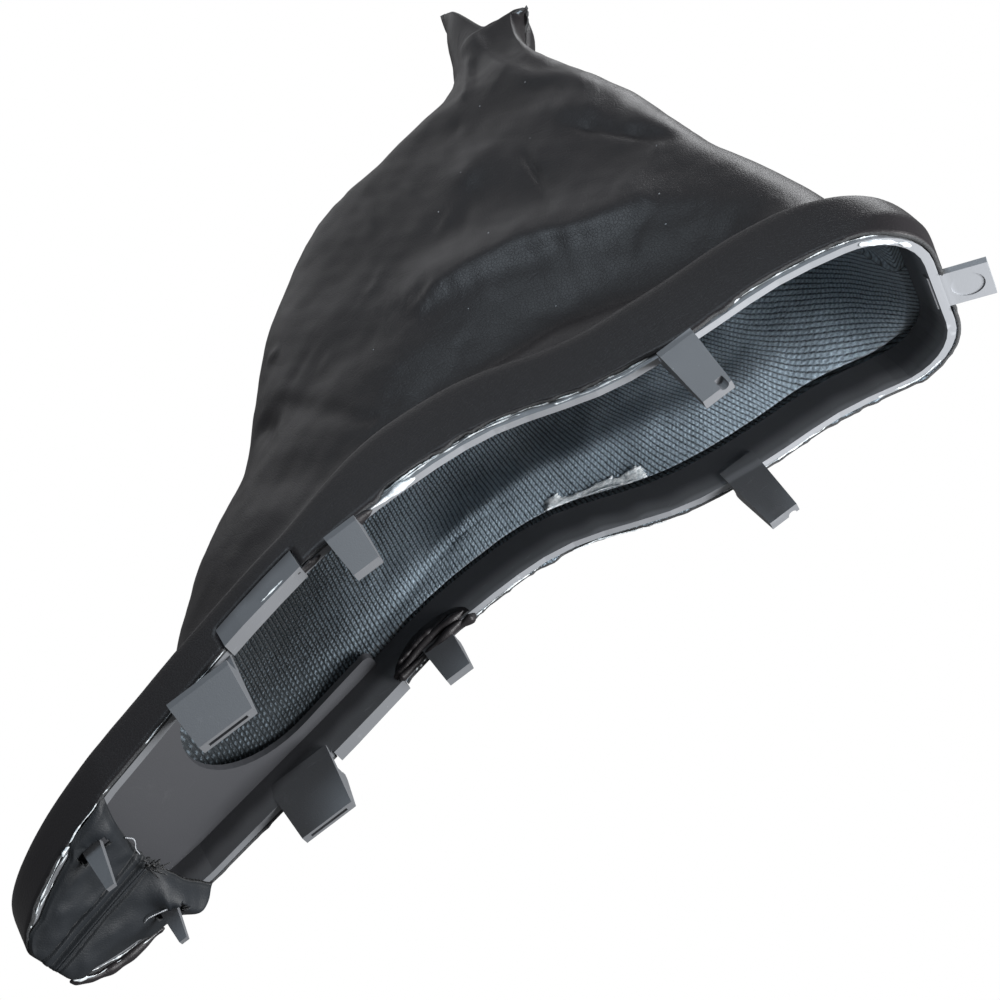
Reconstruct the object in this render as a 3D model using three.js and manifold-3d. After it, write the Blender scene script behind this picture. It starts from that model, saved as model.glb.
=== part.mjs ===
// Handbrake boot: a moulded frame with snap clips, and a sewn leatherette bag glued round its wall.
// Millimetres, +Z up. X runs from the nose to the round rear end, and Z = 0 is the surface it rests on.

import * as THREE from 'three';
import { mergeVertices } from 'three/addons/utils/BufferGeometryUtils.js';
import Module from 'manifold-3d';

const wasm = await Module();
wasm.setup();

// Frame sizes
const frameLength = 312;
const noseFlat = 8; // half of the straight front edge
const noseLength = 45;
const noseHalfWidth = 29.5;
const nosePull = 6.3; // of the nose curve's handle, out from the flat front edge
const nosePush = 12; // of its handle back at the side
const noseTaper = 4.5;
const midHalfWidth = 33.6;
const waistHalfWidth = 31.8;
const rearHalfWidth = 33.2;
const rearCornerRadius = 20;
const wallHeight = 13.5; // from the rim to the top of the plate
const wall = 2.5;
const plate = 2.2;
const edgeChamfer = 0.8;

// Heights of the rim above the surface that the part rests on
const rimKnots = [[0, 7], [30, 15.6], [130, 39.6], [158, 41.8], [186, 39], [220, 24.8], [245, 20.5],
  [276, 17.6], [frameLength, 6.4]];

// Opening in the plate
const openingStart = 61.5;
const openingRound = 30;
const openingHalfWidth = 25.5;
const ledgeEnd = 118;
const ledgeEndRound = 3;

// Bosses on the wall, where the hem is cut back
const bossStart = 93;
const bossLength = 29;
const bossProud = 3;
const bossRise = 7;
const bossDrop = 1;
const bossTaper = 1.2;

// Snap clips, in pairs on the two long walls
const clipThickness = 3.2;
const clipLedge = 3.4; // how far the barb stands out of the wall
const clipLedgeHeight = 2;
const clipRootHeight = 5;
const clipLip = 0.4; // height of the barb's raised edge, which holds the console clear of the bag's hem
const clipTipInset = 0.6;
const clipLean = 1.2; // how far the outer face comes in toward the tip
const rootInset = 0.4; // from the wall's outer face to the clip's root
const clipHoleRadius = 1.4;
const clipHoleDepth = 3;
const frontClip = { start: 70.5, width: 21.7, tipWidth: 17.8, tip: 10.4, slot: 13 };
const middleClip = { start: 131.5, width: 11.2, tipWidth: 8.6, tip: 25.6, slot: 0 };
const rearClip = { start: 234.4, width: 12, tipWidth: 9.6, tip: 0, slot: 0, hole: true };
const slotWidth = 1.1;
const slotDepth = 3;

// Pointed locating pegs under the nose
const pegStart = 26.5;
const pegWidth = 8.4;
const pegTipWidth = 2.6;
const pegThickness = 2.4;
const pegY = 20;
const pegLean = 1;

// Hook tab on the rear end
const tabWidth = 14;
const tabReach = 11.8;
const tabDrop = 6.4;
const tabThickness = 2;
const tabOverlap = 3;
const tabNotchHeight = 4; // of the cut in the hem round the tab
const ejectorRadius = 4.8;
const ejectorDepth = 0.4;

// Sewn bag
const skin = 1.2;
const fitGap = 0.3;
const hemRise = 0.2; // from the rim up to the cut edge
const seamGap = 0.3;
const flapLength = 40;
const flapHoleClearance = 0.6;
const neckHalfWidth = 9;
const neckNearDrop = 17;
const neckFarDrop = 2;

// The bag's rings above the frame: how far the front and rear ends lie in from the frame's own, how much
// narrower than the frame's middle each half is, its height, how far the ring follows the rim's curve,
// and how blunt its front is
const bagRings = [
  { front: 10, rear: 3, inset: 2.1, z: 52, follow: 1, rise: 1.2, blunt: 1 },
  { front: 44, rear: 5.5, inset: 3.1, z: 54, follow: 1, rise: 4.5, blunt: 0.8 },
  { front: 68, rear: 7.5, inset: 4.1, z: 56, follow: 0.85, rise: 11, blunt: 0.5 },
  { front: 84, rear: 9, inset: 5.6, z: 61, follow: 0.5, rise: 19, blunt: 0.32 },
  { front: 98, rear: 9.5, inset: 7.1, z: 77, follow: 0.22, rise: 34, blunt: 0.24 },
  { front: 113, rear: 10, inset: 8.6, z: 95, follow: 0.05, rise: 50, blunt: 0.2 },
  { front: 128, rear: 12, inset: 10.1, z: 113, follow: 0, rise: 0, blunt: 0.2 },
  { front: 138, rear: 16, inset: 11.6, z: 131, follow: 0, rise: 0, blunt: 0.2 },
  { front: 151, rear: 19.5, inset: 13.1, z: 150, follow: 0, rise: 0, blunt: 0.2 },
  { front: 170, rear: 23.5, inset: 15.1, z: 170, follow: 0, rise: 0, blunt: 0.22 },
  { front: 190, rear: 27, inset: 17.1, z: 187, follow: 0, rise: 0, blunt: 0.25 },
  { front: 212, rear: 30, inset: 19.1, z: 197, follow: 0, rise: 0, blunt: 0.35 },
  { front: 236, rear: 32.5, inset: 21.6, z: 202, follow: 0, rise: 0, blunt: 0.5 },
  { front: 247, rear: 33, inset: 23.1, z: 206, follow: 0, rise: 0, blunt: 0.6 },
  { front: 253, rear: 29.5, inset: 24, z: 216, follow: 0, rise: 0, blunt: 0.6 },
  { front: 261, rear: 25, inset: midHalfWidth - neckHalfWidth, z: 232, follow: 0, rise: 0, blunt: 0.6 },
];
const lensPower = 2.4; // of the rings' pointed plan
const lensRound = 2.2;
const rearBluntShare = 0.6;
const neckSlope = 0.25; // of the cut edge of the neck, down toward the rear
const bandStart = 118; // where the rolled band starts to stand up, is full, starts to fade and ends
const bandFull = 165;
const bandFade = 262;
const bandEnd = 308;
const bandRise = 9;
const bandShoulder = 0.8; // share of the rise that the band has where it starts to turn in
const bandTuck = 0.9; // how far the band's crest lies inside the wall's outer face
const hemStraight = 10.5; // from the rim up to where the band starts to bulge

// Colours and finishes
const plasticMaterial = new THREE.MeshStandardMaterial({ color: 0x76797d, roughness: 0.55, metalness: 0 });
const leatherMaterial = new THREE.MeshStandardMaterial({ color: 0x363437, roughness: 0.6, metalness: 0 });

// Number of steps along each stretch of the half outline
const outlineSteps = { end: 2, nose: 10, side: 26, corner: 8 };
const roundSteps = 24;

// A smooth curve through knots of [x, value], evaluated at x.
function through(knots) {
  const slope = knots.map((knot, i) => {
    const before = knots[Math.max(i - 1, 0)];
    const after = knots[Math.min(i + 1, knots.length - 1)];
    return (after[1] - before[1]) / (after[0] - before[0]);
  });
  return (x) => {
    let i = 0;
    while (i < knots.length - 2 && x > knots[i + 1][0]) i += 1;
    const span = knots[i + 1][0] - knots[i][0];
    const t = THREE.MathUtils.clamp((x - knots[i][0]) / span, 0, 1);
    const u = 1 - t;
    return u * u * (1 + 2 * t) * knots[i][1] + t * t * (3 - 2 * t) * knots[i + 1][1]
      + span * (u * u * t * slope[i] - u * t * t * slope[i + 1]);
  };
}

const rim = through(rimKnots);

// Half of the frame's outer outline, from the middle of the nose to the middle of the rear end.
function halfOutline() {
  const cornerX = frameLength - rearCornerRadius;
  const cornerY = rearHalfWidth - rearCornerRadius;
  const front = new THREE.LineCurve(new THREE.Vector2(0, 0), new THREE.Vector2(0, noseFlat));
  const nose = new THREE.CubicBezierCurve(new THREE.Vector2(0, noseFlat),
    new THREE.Vector2(0, noseFlat + nosePull),
    new THREE.Vector2(nosePush, noseHalfWidth - noseTaper),
    new THREE.Vector2(noseLength, noseHalfWidth));
  const side = through([[noseLength, noseHalfWidth], [110, midHalfWidth], [185, waistHalfWidth],
    [245, rearHalfWidth], [cornerX, rearHalfWidth]]);
  const corner = new THREE.EllipseCurve(cornerX, cornerY, rearCornerRadius, rearCornerRadius,
    Math.PI / 2, 0, true);
  const rear = new THREE.LineCurve(new THREE.Vector2(frameLength, cornerY),
    new THREE.Vector2(frameLength, 0));
  const points = [...front.getPoints(outlineSteps.end), ...nose.getPoints(outlineSteps.nose).slice(1)];
  for (let i = 1; i <= outlineSteps.side; i += 1) {
    const x = THREE.MathUtils.lerp(noseLength, cornerX, i / outlineSteps.side);
    points.push(new THREE.Vector2(x, side(x)));
  }
  points.push(...corner.getPoints(outlineSteps.corner).slice(1));
  points.push(...rear.getPoints(outlineSteps.end).slice(1));
  return points;
}

const outline = halfOutline();
const halfCount = outline.length - 1;

// The half outline moved outward by a distance, with both ends kept on the centre plane.
function offsetOutline(distance) {
  return outline.map((point, i) => {
    const before = outline[Math.max(i - 1, 0)];
    const after = outline[Math.min(i + 1, halfCount)];
    const along = after.clone().sub(before).normalize();
    const moved = new THREE.Vector2(point.x - along.y * distance, point.y + along.x * distance);
    if (i === 0 || i === halfCount) moved.y = 0;
    return moved;
  });
}

// A closed ring of points: the half outline on the far side, then its mirror image on the near side.
function ringOf(half, height) {
  const ring = half.map((point) => new THREE.Vector3(point.x, point.y, height(point.x, point.y)));
  for (let i = halfCount - 1; i > 0; i -= 1) {
    ring.push(new THREE.Vector3(half[i].x, -half[i].y, height(half[i].x, -half[i].y)));
  }
  return ring;
}

// Skin through rings of equal count. A looped stack closes on itself, and another one gets flat ends.
function ringGeometry(rings, looped) {
  const count = rings[0].length;
  const index = [];
  const triangle = (a, b, c) => {
    if (a !== b && b !== c && a !== c) index.push(a, b, c);
  };
  const bands = looped ? rings.length : rings.length - 1;
  for (let j = 0; j < bands; j += 1) {
    const low = j * count;
    const high = ((j + 1) % rings.length) * count;
    for (let i = 0; i < count; i += 1) {
      const next = (i + 1) % count;
      triangle(low + i, high + i, high + next);
      triangle(low + i, high + next, low + next);
    }
  }
  if (!looped) {
    const top = (rings.length - 1) * count;
    for (let i = 0; i < count / 2; i += 1) {
      const mirror = (count - i) % count;
      const mirrorNext = count - i - 1;
      triangle(top + i, top + mirror, top + mirrorNext);
      triangle(top + i, top + mirrorNext, top + i + 1);
      triangle(i, mirrorNext, mirror);
      triangle(i, i + 1, mirrorNext);
    }
  }
  const geometry = new THREE.BufferGeometry();
  const positions = rings.flat().flatMap((point) => [point.x, point.y, point.z]);
  geometry.setAttribute('position', new THREE.Float32BufferAttribute(positions, 3));
  geometry.setIndex(index);
  return geometry;
}

// A stack of levels over the frame's outline. Each level is [outward offset, height above the rim].
function levelStack(levels) {
  return ringGeometry(levels.map(([offset, lift]) => ringOf(offsetOutline(offset), (x) => rim(x) + lift)));
}

// A closed geometry as a solid that can be joined and cut.
function solid(geometry) {
  const bare = geometry.clone();
  bare.deleteAttribute('normal');
  bare.deleteAttribute('uv');
  const merged = mergeVertices(bare, 1e-4);
  return new wasm.Manifold(new wasm.Mesh({
    numProp: 3,
    vertProperties: new Float32Array(merged.attributes.position.array),
    triVerts: new Uint32Array(merged.index.array),
  }));
}

// A box given by its lowest and highest corners.
function block(low, high) {
  const geometry = new THREE.BoxGeometry(high[0] - low[0], high[1] - low[1], high[2] - low[2]);
  geometry.translate((low[0] + high[0]) / 2, (low[1] + high[1]) / 2, (low[2] + high[2]) / 2);
  return solid(geometry);
}

// A profile in the YZ plane, extruded along X and narrowed evenly toward its lowest point.
function wedge(profile, start, width, tipWidth) {
  const shape = new THREE.Shape(profile.map(([y, z]) => new THREE.Vector2(y, z)));
  const geometry = new THREE.ExtrudeGeometry(shape, { depth: width, bevelEnabled: false });
  geometry.applyMatrix4(new THREE.Matrix4().makeBasis(new THREE.Vector3(0, 1, 0),
    new THREE.Vector3(0, 0, 1), new THREE.Vector3(1, 0, 0)));
  const heights = profile.map(([, z]) => z);
  const top = Math.max(...heights);
  const tip = Math.min(...heights);
  const position = geometry.attributes.position;
  for (let i = 0; i < position.count; i += 1) {
    const share = (top - position.getZ(i)) / (top - tip);
    const narrow = THREE.MathUtils.lerp(1, tipWidth / width, share);
    position.setX(i, start + width / 2 + (position.getX(i) - width / 2) * narrow);
  }
  return solid(geometry);
}

// An upright outline in plan, extruded between two heights.
function planPrism(shape, low, high) {
  const depth = high - low;
  const geometry = new THREE.ExtrudeGeometry(shape, { depth, bevelEnabled: false, curveSegments: 12 });
  geometry.translate(0, 0, low);
  return solid(geometry);
}

// Distance of the wall's outer face from the centre plane at x.
function wallOuter(x) {
  let i = 1;
  while (i < halfCount && outline[i].x < x) i += 1;
  const share = (x - outline[i - 1].x) / (outline[i].x - outline[i - 1].x);
  return THREE.MathUtils.lerp(outline[i - 1].y, outline[i].y, share);
}

// One barbed clip that hangs from the rim. side is 1 on the far wall and -1 on the near wall.
function clip({ start, width, tipWidth, tip, slot, hole }, side) {
  const middle = start + width / 2;
  const outer = wallOuter(middle);
  const root = rim(middle);
  const inner = outer - clipThickness;
  const outermost = Math.max(wallOuter(start), wallOuter(start + width));
  const barb = outermost + clipLedge;
  const lip = outermost + fitGap + skin + fitGap;
  const tipOuter = outer - clipLean + clipTipInset;
  const rootOuter = Math.min(wallOuter(start), wallOuter(start + width)) - rootInset;
  const ledgeTop = Math.min(rim(start), rim(start + width)) + hemRise - fitGap;
  const profile = [[inner, root + clipRootHeight], [rootOuter, root + clipRootHeight],
    [rootOuter, ledgeTop - clipLip], [lip, ledgeTop - clipLip], [lip, ledgeTop], [barb, ledgeTop],
    [barb, ledgeTop - clipLedgeHeight], [tipOuter, tip], [tipOuter - clipThickness, tip]];
  let body = wedge(profile.map(([y, z]) => [side * y, z]), start, width, tipWidth);
  const tipMiddle = side * (tipOuter - clipThickness / 2);
  if (slot) {
    body = body.subtract(block([middle - slot / 2, tipMiddle - slotWidth / 2, tip - 1],
      [middle + slot / 2, tipMiddle + slotWidth / 2, tip + slotDepth]));
  }
  if (hole) {
    const bore = new THREE.CylinderGeometry(clipHoleRadius, clipHoleRadius, clipHoleDepth * 2, 14);
    bore.rotateX(Math.PI / 2);
    bore.translate(middle + tipWidth / 4, tipMiddle + side * clipThickness / 2, tip);
    body = body.subtract(solid(bore));
  }
  return body;
}

// One pointed peg under the nose, from the plate down to the resting surface.
function peg(side) {
  const top = rim(pegStart) + wallHeight - plate + 0.5;
  const profile = [[pegY - pegThickness / 2, top], [pegY + pegThickness / 2, top],
    [pegY + pegThickness / 2 - pegLean, 0], [pegY - pegThickness / 2 - pegLean + 0.8, 0]];
  return wedge(profile.map(([y, z]) => [side * y, z]), pegStart, pegWidth, pegTipWidth);
}

// The hook tab, sloping down and outward from the rear wall, with an ejector mark under it.
function tab() {
  const startX = frameLength - tabOverlap;
  const slope = tabDrop / tabReach;
  const startZ = tabDrop + slope * tabOverlap;
  const shape = new THREE.Shape([new THREE.Vector2(startX, startZ),
    new THREE.Vector2(frameLength + tabReach, 0),
    new THREE.Vector2(frameLength + tabReach + tabThickness * 0.5, tabThickness * 0.9),
    new THREE.Vector2(startX, startZ + tabThickness * 1.1)]);
  const geometry = new THREE.ExtrudeGeometry(shape, { depth: tabWidth, bevelEnabled: false });
  geometry.rotateX(Math.PI / 2);
  geometry.translate(0, tabWidth / 2, 0);
  const mark = new THREE.CylinderGeometry(ejectorRadius, ejectorRadius, 2 * ejectorDepth, roundSteps);
  mark.rotateX(Math.PI / 2);
  mark.rotateY(Math.atan(slope));
  mark.translate(frameLength + tabReach / 2, 0, tabDrop / 2);
  return solid(geometry).subtract(solid(mark));
}

// Plan outline of the opening: a rounded end at the nose, ledges, then the full width of the frame.
function openingShape() {
  const shape = new THREE.Shape();
  const far = frameLength + 10;
  const wide = midHalfWidth + 10;
  shape.moveTo(ledgeEnd - ledgeEndRound, -openingHalfWidth);
  shape.lineTo(openingStart + openingRound, -openingHalfWidth);
  const quarter = Math.PI / 2;
  shape.absellipse(openingStart + openingRound, 0, openingRound, openingHalfWidth, -quarter, quarter, true);
  shape.lineTo(ledgeEnd - ledgeEndRound, openingHalfWidth);
  shape.quadraticCurveTo(ledgeEnd, openingHalfWidth, ledgeEnd, openingHalfWidth + ledgeEndRound);
  shape.lineTo(ledgeEnd, wide);
  shape.lineTo(far, wide);
  shape.lineTo(far, -wide);
  shape.lineTo(ledgeEnd, -wide);
  shape.lineTo(ledgeEnd, -openingHalfWidth - ledgeEndRound);
  shape.quadraticCurveTo(ledgeEnd, -openingHalfWidth, ledgeEnd - ledgeEndRound, -openingHalfWidth);
  return shape;
}

// The moulded frame in one piece: wall, plate, bosses, clips, pegs and hook tab.
function buildFrame() {
  const below = -30;
  const above = 40;
  const body = solid(levelStack([[0, 0], [0, wallHeight - edgeChamfer], [-edgeChamfer, wallHeight]]));
  const hollow = solid(levelStack([[-wall, below], [-wall, wallHeight - plate]]));
  const room = solid(levelStack([[-wall, below], [-wall, above]]));
  const opening = planPrism(openingShape(), below, 100).intersect(room);
  let frame = body.subtract(hollow).subtract(opening);
  const bossTop = bossRise - bossTaper;
  const boss = solid(levelStack([[bossProud, -bossDrop], [bossProud, bossTop],
    [bossProud - bossTaper, bossRise]]));
  for (const side of [1, -1]) {
    const face = (wallOuter(bossStart) + wallOuter(bossStart + bossLength)) / 2;
    const span = block([bossStart, side > 0 ? 0 : -face - bossProud, 0],
      [bossStart + bossLength, side > 0 ? face + bossProud : 0, 100]);
    const strip = boss.subtract(room);
    frame = frame.add(strip.intersect(span));
    for (const size of [frontClip, middleClip, rearClip]) frame = frame.add(clip(size, side));
    frame = frame.add(peg(side));
  }
  return frame.add(tab());
}

// How much of the tall side band of the bag there is at x: none over the nose, full over the middle.
function bandShare(x) {
  return THREE.MathUtils.smoothstep(x, bandStart, bandFull)
    * (1 - THREE.MathUtils.smoothstep(x, bandFade, bandEnd));
}

// Height of the bag where it leaves the frame, above the rim.
const bandBase = wallHeight + fitGap + skin;

// One ring of the bag above the frame, moved inward from the outer surface by a thickness.
function bagRing({ front, rear, inset, z, follow, rise, blunt }, inward, drop) {
  const end = frameLength - rear;
  const half = midHalfWidth - inset;
  const ring = outline.map((point) => {
    const share = point.x / frameLength;
    const x = THREE.MathUtils.lerp(front + inward, end - inward, share);
    const lens = Math.pow(Math.max(1 - Math.pow(Math.abs(2 * share - 1), lensPower), 0), 1 / lensRound);
    const rearShare = THREE.MathUtils.smoothstep(share, rearBluntShare, 1);
    const mix = THREE.MathUtils.lerp(blunt, 1, rearBluntShare * rearShare);
    const y = (half - inward) * THREE.MathUtils.lerp(lens, Math.min(point.y / midHalfWidth, 1), mix);
    return new THREE.Vector2(x, y);
  });
  return ringOf(ring, (x, y) => {
    const near = THREE.MathUtils.smoothstep(-y, -half, half);
    const lean = drop * THREE.MathUtils.lerp(neckFarDrop, neckNearDrop, near);
    const level = z + drop * (end - x) * neckSlope - lean;
    const lift = rise * THREE.MathUtils.lerp(0.3, 1, bandShare(x));
    return THREE.MathUtils.lerp(level, rim(x) + bandBase + lift - inward * 0.7, follow);
  });
}

// All rings of one face of the bag, from the hem up to the neck.
function bagFace(inward) {
  const out = fitGap + skin - inward;
  const levels = [
    [out, () => hemRise],
    [out, () => hemStraight],
    [out - 0.35 * (skin - inward),
      (x) => wallHeight + fitGap + 0.3 * (skin - inward) + bandShoulder * bandRise * bandShare(x)],
    [-bandTuck - inward * 0.2, (x) => bandBase - inward + bandRise * bandShare(x)],
  ];
  const rings = levels.map(([offset, lift]) => ringOf(offsetOutline(offset), (x) => rim(x) + lift(x)));
  bagRings.forEach((ring, i) => rings.push(bagRing(ring, inward, i === bagRings.length - 1 ? 1 : 0)));
  return rings;
}

// The flap that closes the underside of the nose, with holes for the two pegs.
function buildFlap() {
  const out = fitGap + skin;
  const end = new THREE.Shape();
  end.moveTo(-10, -60);
  end.lineTo(flapLength + 3, -60);
  end.lineTo(flapLength + 3, -30);
  end.quadraticCurveTo(flapLength - 9, 0, flapLength + 3, 30);
  end.lineTo(flapLength + 3, 60);
  end.lineTo(-10, 60);
  const outside = solid(levelStack([[out, -fitGap - skin], [out, 1]]));
  const inside = solid(levelStack([[fitGap, -fitGap], [fitGap, 3]]));
  let flap = outside.subtract(inside).intersect(planPrism(end, -10, 100));
  for (const side of [1, -1]) {
    const low = side > 0 ? pegY - pegThickness : -pegY - pegThickness;
    flap = flap.subtract(block([pegStart - flapHoleClearance, low, -10],
      [pegStart + pegWidth + flapHoleClearance, low + 2 * pegThickness, 60]));
  }
  return flap;
}

// One of the two sewn panels, cut from the whole bag at the front and rear seams.
function buildPanel(side) {
  const bag = solid(ringGeometry([...bagFace(0), ...bagFace(skin).reverse()], true)).add(buildFlap());
  const half = side > 0 ? block([-20, seamGap / 2, -20], [frameLength + 20, 80, 280])
    : block([-20, -80, -20], [frameLength + 20, -seamGap / 2, 280]);
  const notch = solid(levelStack([[-1, -5], [bossProud + 3, -5], [bossProud + 3, bossRise + fitGap],
    [-1, bossRise + fitGap]]))
    .intersect(block([bossStart - fitGap, -60, 0], [bossStart + bossLength + fitGap, 60, 100]));
  const tabNotch = block([frameLength - tabOverlap, -tabWidth / 2 - fitGap, 0],
    [frameLength + 10, tabWidth / 2 + fitGap, rim(frameLength) + tabNotchHeight]);
  return bag.intersect(half).subtract(notch).subtract(tabNotch);
}

// A named mesh from a solid.
function meshOf(name, body, material) {
  const { vertProperties, triVerts } = body.getMesh();
  const geometry = new THREE.BufferGeometry();
  geometry.setAttribute('position', new THREE.Float32BufferAttribute(vertProperties, 3));
  geometry.setIndex(Array.from(triVerts));
  geometry.computeVertexNormals();
  const mesh = new THREE.Mesh(geometry, material);
  mesh.name = name;
  return mesh;
}

const boot = new THREE.Group();
boot.add(
  meshOf('base_frame', buildFrame(), plasticMaterial),
  meshOf('boot_panel_near', buildPanel(-1), leatherMaterial),
  meshOf('boot_panel_far', buildPanel(1), leatherMaterial),
);
const bounds = new THREE.Box3().setFromObject(boot);
boot.position.set(-(bounds.min.x + bounds.max.x) / 2, -(bounds.min.y + bounds.max.y) / 2, -bounds.min.z);

export default boot;
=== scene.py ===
"""Looks of the handbrake boot: leatherette panels with a knit backing on a moulded frame."""

import logging
import math
from dataclasses import dataclass, field
from enum import Enum
from typing import Iterable, Optional, Sequence, Union

import bmesh
import bpy
import numpy as np
from mathutils import Matrix, Vector


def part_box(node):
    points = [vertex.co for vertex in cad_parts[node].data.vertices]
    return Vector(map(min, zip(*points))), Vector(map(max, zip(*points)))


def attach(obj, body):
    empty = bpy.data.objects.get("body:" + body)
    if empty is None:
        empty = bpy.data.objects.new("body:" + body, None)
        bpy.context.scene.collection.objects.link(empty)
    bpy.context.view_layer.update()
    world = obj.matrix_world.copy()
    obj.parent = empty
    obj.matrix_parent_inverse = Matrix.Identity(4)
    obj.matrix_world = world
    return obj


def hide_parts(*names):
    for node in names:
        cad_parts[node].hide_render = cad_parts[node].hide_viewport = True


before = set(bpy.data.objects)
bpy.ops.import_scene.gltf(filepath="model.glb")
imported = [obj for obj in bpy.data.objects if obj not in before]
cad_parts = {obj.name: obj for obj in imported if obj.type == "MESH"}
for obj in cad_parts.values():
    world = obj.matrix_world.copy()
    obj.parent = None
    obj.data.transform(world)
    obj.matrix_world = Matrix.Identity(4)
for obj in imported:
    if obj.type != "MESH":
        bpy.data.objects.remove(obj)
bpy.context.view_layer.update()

log = logging.getLogger("handbrake_boot")

MM = 0.001


class Side(Enum):
    """The two mirrored halves of the boot."""

    NEAR = -1
    FAR = 1


class Face(Enum):
    """Faces of a thin sheet, in the order of its material slots."""

    OUTSIDE = 0
    INSIDE = 1
    EDGE = 2


@dataclass(frozen=True)
class FrameSizes:
    """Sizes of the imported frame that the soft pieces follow, in millimetres from its nose."""

    length: float = 312.0
    nose_flat: float = 8.0
    nose_length: float = 45.0
    nose_half: float = 29.5
    widest_half: float = 33.6
    waist_half: float = 31.8
    rear_half: float = 33.2
    corner_radius: float = 20.0
    wall_height: float = 13.5
    nose_pull: float = 6.3
    nose_push: float = 12.15
    nose_taper: float = 4.5
    widest_x: float = 110.0
    waist_x: float = 185.0
    rear_x: float = 245.0
    rim: tuple = ((0, 7), (30, 15.6), (130, 39.6), (158, 41.8), (186, 39), (220, 24.8), (245, 20.5),
                  (276, 17.6), (312, 6.4))
    notch: tuple = (92.7, 122.3)
    notch_height: float = 7.3
    tab_half: float = 7.3
    tab_notch_height: float = 4.0


@dataclass(frozen=True)
class BagRing:
    """One ring of the bag above the frame, in millimetres.

    Attributes:
        front: Where it starts, from the nose.
        rear: Where it ends.
        half: Its half width.
        z: Its height above the surface that the boot rests on.
        follow: The share in which it follows the frame's rim instead, from 0 to 1.
        rise: Its height above the band's base where it follows the rim.
        blunt: The share in which it keeps the frame's blunt outline, instead of a lens.
    """

    front: float
    rear: float
    half: float
    z: float
    follow: float
    rise: float
    blunt: float


# The bag from the band up to the neck's mouth, fitted to the photograph's silhouette
BAG_RINGS = (
    BagRing(10, 309, 31.5, 52, 1, 1.2, 1),
    BagRing(40, 307.8, 30.5, 54, 1, 4.5, 0.8),
    BagRing(49.5, 306.5, 29.5, 56, 0.85, 11, 0.5),
    BagRing(63.6, 305.5, 28, 61, 0.5, 19, 0.32),
    BagRing(76.3, 302.8, 26.5, 77, 0.22, 34, 0.24),
    BagRing(96.8, 297.3, 25, 95, 0.05, 50, 0.2),
    BagRing(116.5, 295.2, 23.5, 109, 0, 0, 0.2),
    BagRing(129.5, 293.4, 22, 127.2, 0, 0, 0.2),
    BagRing(141.8, 289.8, 20.5, 147, 0, 0, 0.2),
    BagRing(161, 284.8, 18.5, 166.6, 0, 0, 0.22),
    BagRing(183.4, 280.8, 16.5, 180.4, 0, 0, 0.25),
    BagRing(209, 279.6, 14.5, 185.5, 0, 0, 0.35),
    BagRing(235.4, 278.8, 12, 191.5, 0, 0, 0.5),
    BagRing(247.8, 279.3, 10.5, 198.5, 0, 0, 0.6),
    BagRing(255, 284.9, 9.6, 210.7, 0, 0, 0.6),
    BagRing(267, 287.8, 9, 227.5, 0, 0, 0.6),
)

SIZES = FrameSizes()
NOSE_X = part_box("base_frame")[0].x
FIT_GAP = 0.3
SKIN = 1.2
HEM_RISE = 0.2
BAND_RISE = 9.0
BAND_BASE = SIZES.wall_height + FIT_GAP + SKIN
NECK_NEAR_DROP = 18.8
NECK_FRONT_LOBE = 21.0
NECK_FAR_DROP = 2.0
SEAM_HALF_GAP = 0.15
CREST_LEAN = 0.35
CREST_LIFT = 0.3
CREST_RISE = 0.8 * BAND_RISE
BAND_BACK = 0.9
FLAP_LENGTH = 43.0
FLAP_HOLLOW = 6.0
REAR_SLACK = 3.0
STITCH_ROWS = {Side.NEAR: 5.2, Side.FAR: 3.0}


def smoothstep(value: np.ndarray, low: float, high: float) -> np.ndarray:
    """Ramps smoothly from 0 at low to 1 at high.

    Args:
        value: Numbers to ramp.
        low: Where the ramp starts.
        high: Where the ramp ends.

    Returns:
        The ramped numbers, from 0 to 1.
    """
    t = np.clip((np.asarray(value, float) - low) / (high - low), 0, 1)
    return t * t * (3 - 2 * t)


def lerp(a: Union[float, np.ndarray], b: Union[float, np.ndarray], t: np.ndarray) -> np.ndarray:
    """Mixes two values.

    Args:
        a: The value where the share is 0.
        b: The value where the share is 1.
        t: The share of b.

    Returns:
        The mix.
    """
    return a + (b - a) * t


def unit(vectors: np.ndarray) -> np.ndarray:
    """Scales vectors in the last axis to length 1."""
    return vectors / np.maximum(np.linalg.norm(vectors, axis=-1, keepdims=True), 1e-9)


def to_metres(points: np.ndarray) -> np.ndarray:
    """Turns millimetres from the frame's nose into metres of the shared frame."""
    return np.asarray(points, float) * MM + np.array([NOSE_X, 0, 0])


def bell(gap: Union[float, np.ndarray], width: Union[float, np.ndarray]) -> np.ndarray:
    """Falls smoothly from 1 to almost 0.

    Args:
        gap: The distance from the middle.
        width: Half of the distance in which the bell falls away.

    Returns:
        1 where the gap is 0, and 0.02 where it is twice the width.
    """
    return np.exp(-((gap / width) ** 2))


def arc_lengths(points: np.ndarray) -> np.ndarray:
    """Measures the distance along a line of points, at each point."""
    return np.concatenate([[0], np.cumsum(np.linalg.norm(np.diff(points, axis=0), axis=1))])


def hermite(t: np.ndarray, span: np.ndarray, values: np.ndarray, slopes: np.ndarray,
            i: np.ndarray) -> np.ndarray:
    """Runs a smooth curve between neighbouring knots.

    Args:
        t: Shares of the way from one knot to the next.
        span: Distances between those knots.
        values: The values at all the knots.
        slopes: The slopes there.
        i: Numbers of the knots that the spans start from.

    Returns:
        The curve's values.
    """
    u = 1 - t
    level = u * u * (1 + 2 * t) * values[i] + t * t * (3 - 2 * t) * values[i + 1]
    return level + span * (u * u * t * slopes[i] - u * t * t * slopes[i + 1])


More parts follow.
